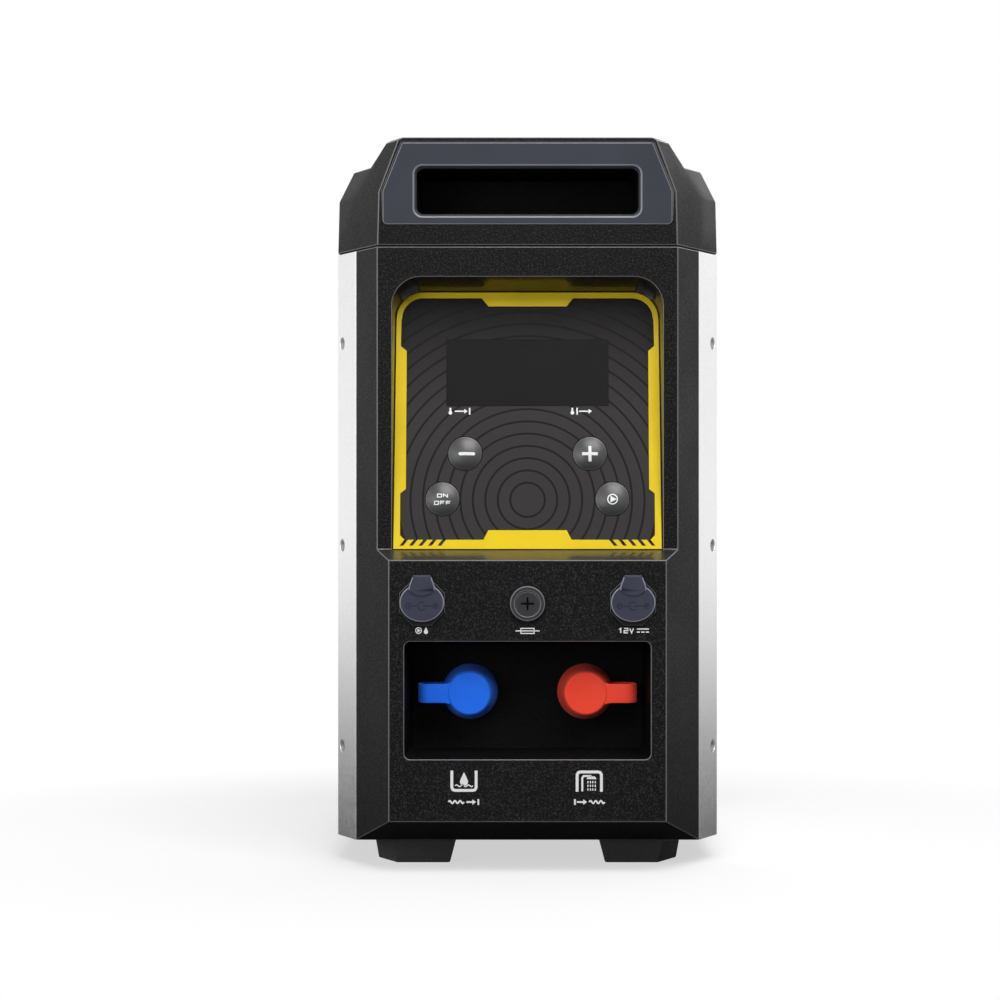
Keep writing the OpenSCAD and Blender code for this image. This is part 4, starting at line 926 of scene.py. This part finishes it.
def make_camera():
    """The photograph's view: level, straight at the front, and framed by a small shift."""
    sensor = 36
    focal, shift = 2.83, -0.0275  # as shares of the frame's width
    distance, height = 1500 * MM, 193 * MM  # in front of the side panels' seam, and above the floor
    data = bpy.data.cameras.new("camera")
    data.sensor_width = sensor
    data.lens = sensor * focal
    data.shift_x = shift
    data.clip_start = 0.05
    camera = bpy.data.objects.new("camera", data)
    seam = box_of("side_panel_left")[0].y
    camera.location = (0, seam - distance, height)
    camera.rotation_euler = (math.radians(90), 0, 0)
    bpy.context.scene.collection.objects.link(camera)
    bpy.context.scene.camera = camera


def area_light(name, place, target, size, power):
    data = bpy.data.lights.new(name, "AREA")
    data.shape = "RECTANGLE"
    data.size, data.size_y = size
    data.energy = power
    light = bpy.data.objects.new(name, data)
    light.location = place
    bpy.context.scene.collection.objects.link(light)
    look_at(light, target)


def seen_directly(tree):
    """1 for camera, glossy and transmission rays, 0 for the rays that light the object."""
    path = tree.nodes.new("ShaderNodeLightPath")
    seen = path.outputs["Is Camera Ray"]
    for other in ("Is Glossy Ray", "Is Transmission Ray"):
        most = tree.nodes.new("ShaderNodeMath")
        most.operation = "MAXIMUM"
        tree.links.new(seen, most.inputs[0])
        tree.links.new(path.outputs[other], most.inputs[1])
        seen = most.outputs[0]
    return seen


def make_floor():
    """A wide pale floor that keeps the object's shadow and turns to plain white away from it.

    Reflections see it as a soft grey that pales with distance, and it throws back little light.
    """
    half = 6
    pale, thrown_back = (0.88, 0.88, 0.88, 1), (0.24, 0.24, 0.24, 1)
    near, far, least = 0.2, 0.42, 0.6  # the share of plain white is least up to near, 1 from far
    reflected, growth = 0.33, 1.1  # a reflection sees reflected * distance ** growth

    mesh = bpy.data.meshes.new("floor")
    mesh.from_pydata([(-half, -half, 0), (half, -half, 0), (half, half, 0), (-half, half, 0)],
                     [], [range(4)])
    floor = bpy.data.objects.new("floor", mesh)
    bpy.context.scene.collection.objects.link(floor)

    m = Material("floor", pale, 0.9, Specular_IOR_Level=0.0)
    path = m.add("ShaderNodeLightPath")
    m.colour(m.blend(path.outputs["Is Diffuse Ray"], pale, thrown_back))
    length = m.add("ShaderNodeVectorMath", operation="LENGTH")
    m.link(m.coords, length.inputs[0])
    away = length.outputs["Value"]
    white = m.add("ShaderNodeEmission")
    grey_light = m.add("ShaderNodeEmission")
    m.link(m.math("MULTIPLY", m.math("POWER", away, growth), reflected),
           grey_light.inputs["Strength"])
    seen = m.add("ShaderNodeMixShader")
    m.link(path.outputs["Is Glossy Ray"], seen.inputs[0])
    m.link(white.outputs[0], seen.inputs[1])
    m.link(grey_light.outputs[0], seen.inputs[2])
    direct = m.math("MULTIPLY", m.spread(away, near, far, least, 1), seen_directly(m.tree))
    mix = m.add("ShaderNodeMixShader")
    m.link(m.math("MAXIMUM", direct, path.outputs["Is Glossy Ray"]), mix.inputs[0])
    m.link(m.shader.outputs[0], mix.inputs[1])
    m.link(seen.outputs[0], mix.inputs[2])
    m.link(mix.outputs[0], m.tree.nodes["Material Output"].inputs["Surface"])
    mesh.materials.append(m.mat)


def make_world():
    """Soft dim light all round, and plain white where it is seen directly or in a reflection."""
    world = bpy.data.worlds.new("studio")
    bpy.context.scene.world = world
    world.use_nodes = True
    tree = world.node_tree
    light, white = tree.nodes["Background"], tree.nodes.new("ShaderNodeBackground")
    for background, strength in ((light, 0.1), (white, 1)):
        background.inputs["Color"].default_value = (1, 1, 1, 1)
        background.inputs["Strength"].default_value = strength
    mix = tree.nodes.new("ShaderNodeMixShader")
    tree.links.new(seen_directly(tree), mix.inputs[0])
    tree.links.new(light.outputs[0], mix.inputs[1])
    tree.links.new(white.outputs[0], mix.inputs[2])
    tree.links.new(mix.outputs[0], tree.nodes["World Output"].inputs["Surface"])


# Each lamp: its place, what it looks at, its two sides and its power in watts
LAMPS = {
    "key": ((0.35, -1.25, 1.55), (0, -0.15, 0.2), (1.3, 1.3), 34),
    "fill": ((-0.9, -1.6, 0.45), (0, -0.15, 0.2), (0.8, 0.8), 6),
    "top": ((0, 0.2, 1.6), (0, 0, 0.3), (1.2, 1.2), 3),
    "left_rim": ((-1.6, -0.8, 0.7), (0, -0.1, 0.2), (1.5, 1.2), 6),
    "right_rim": ((1.4, 0.9, 0.9), (0, 0, 0.2), (0.7, 0.7), 1),
    "rear": ((0.5, 1.6, 1.2), (0, 0.15, 0.2), (1.2, 1.2), 12),
}


def make_lights():
    for name, lamp in LAMPS.items():
        area_light(name, *lamp)


make_camera()
make_floor()
make_world()
make_lights()
bpy.context.scene.view_settings.view_transform = "Standard"
round_edges()
cap_strap(-1, "inlet_strap")
cap_strap(1, "outlet_strap")
mark_buttons()
mark_panel()
mark_sockets()
mark_connections()
mark_covers()
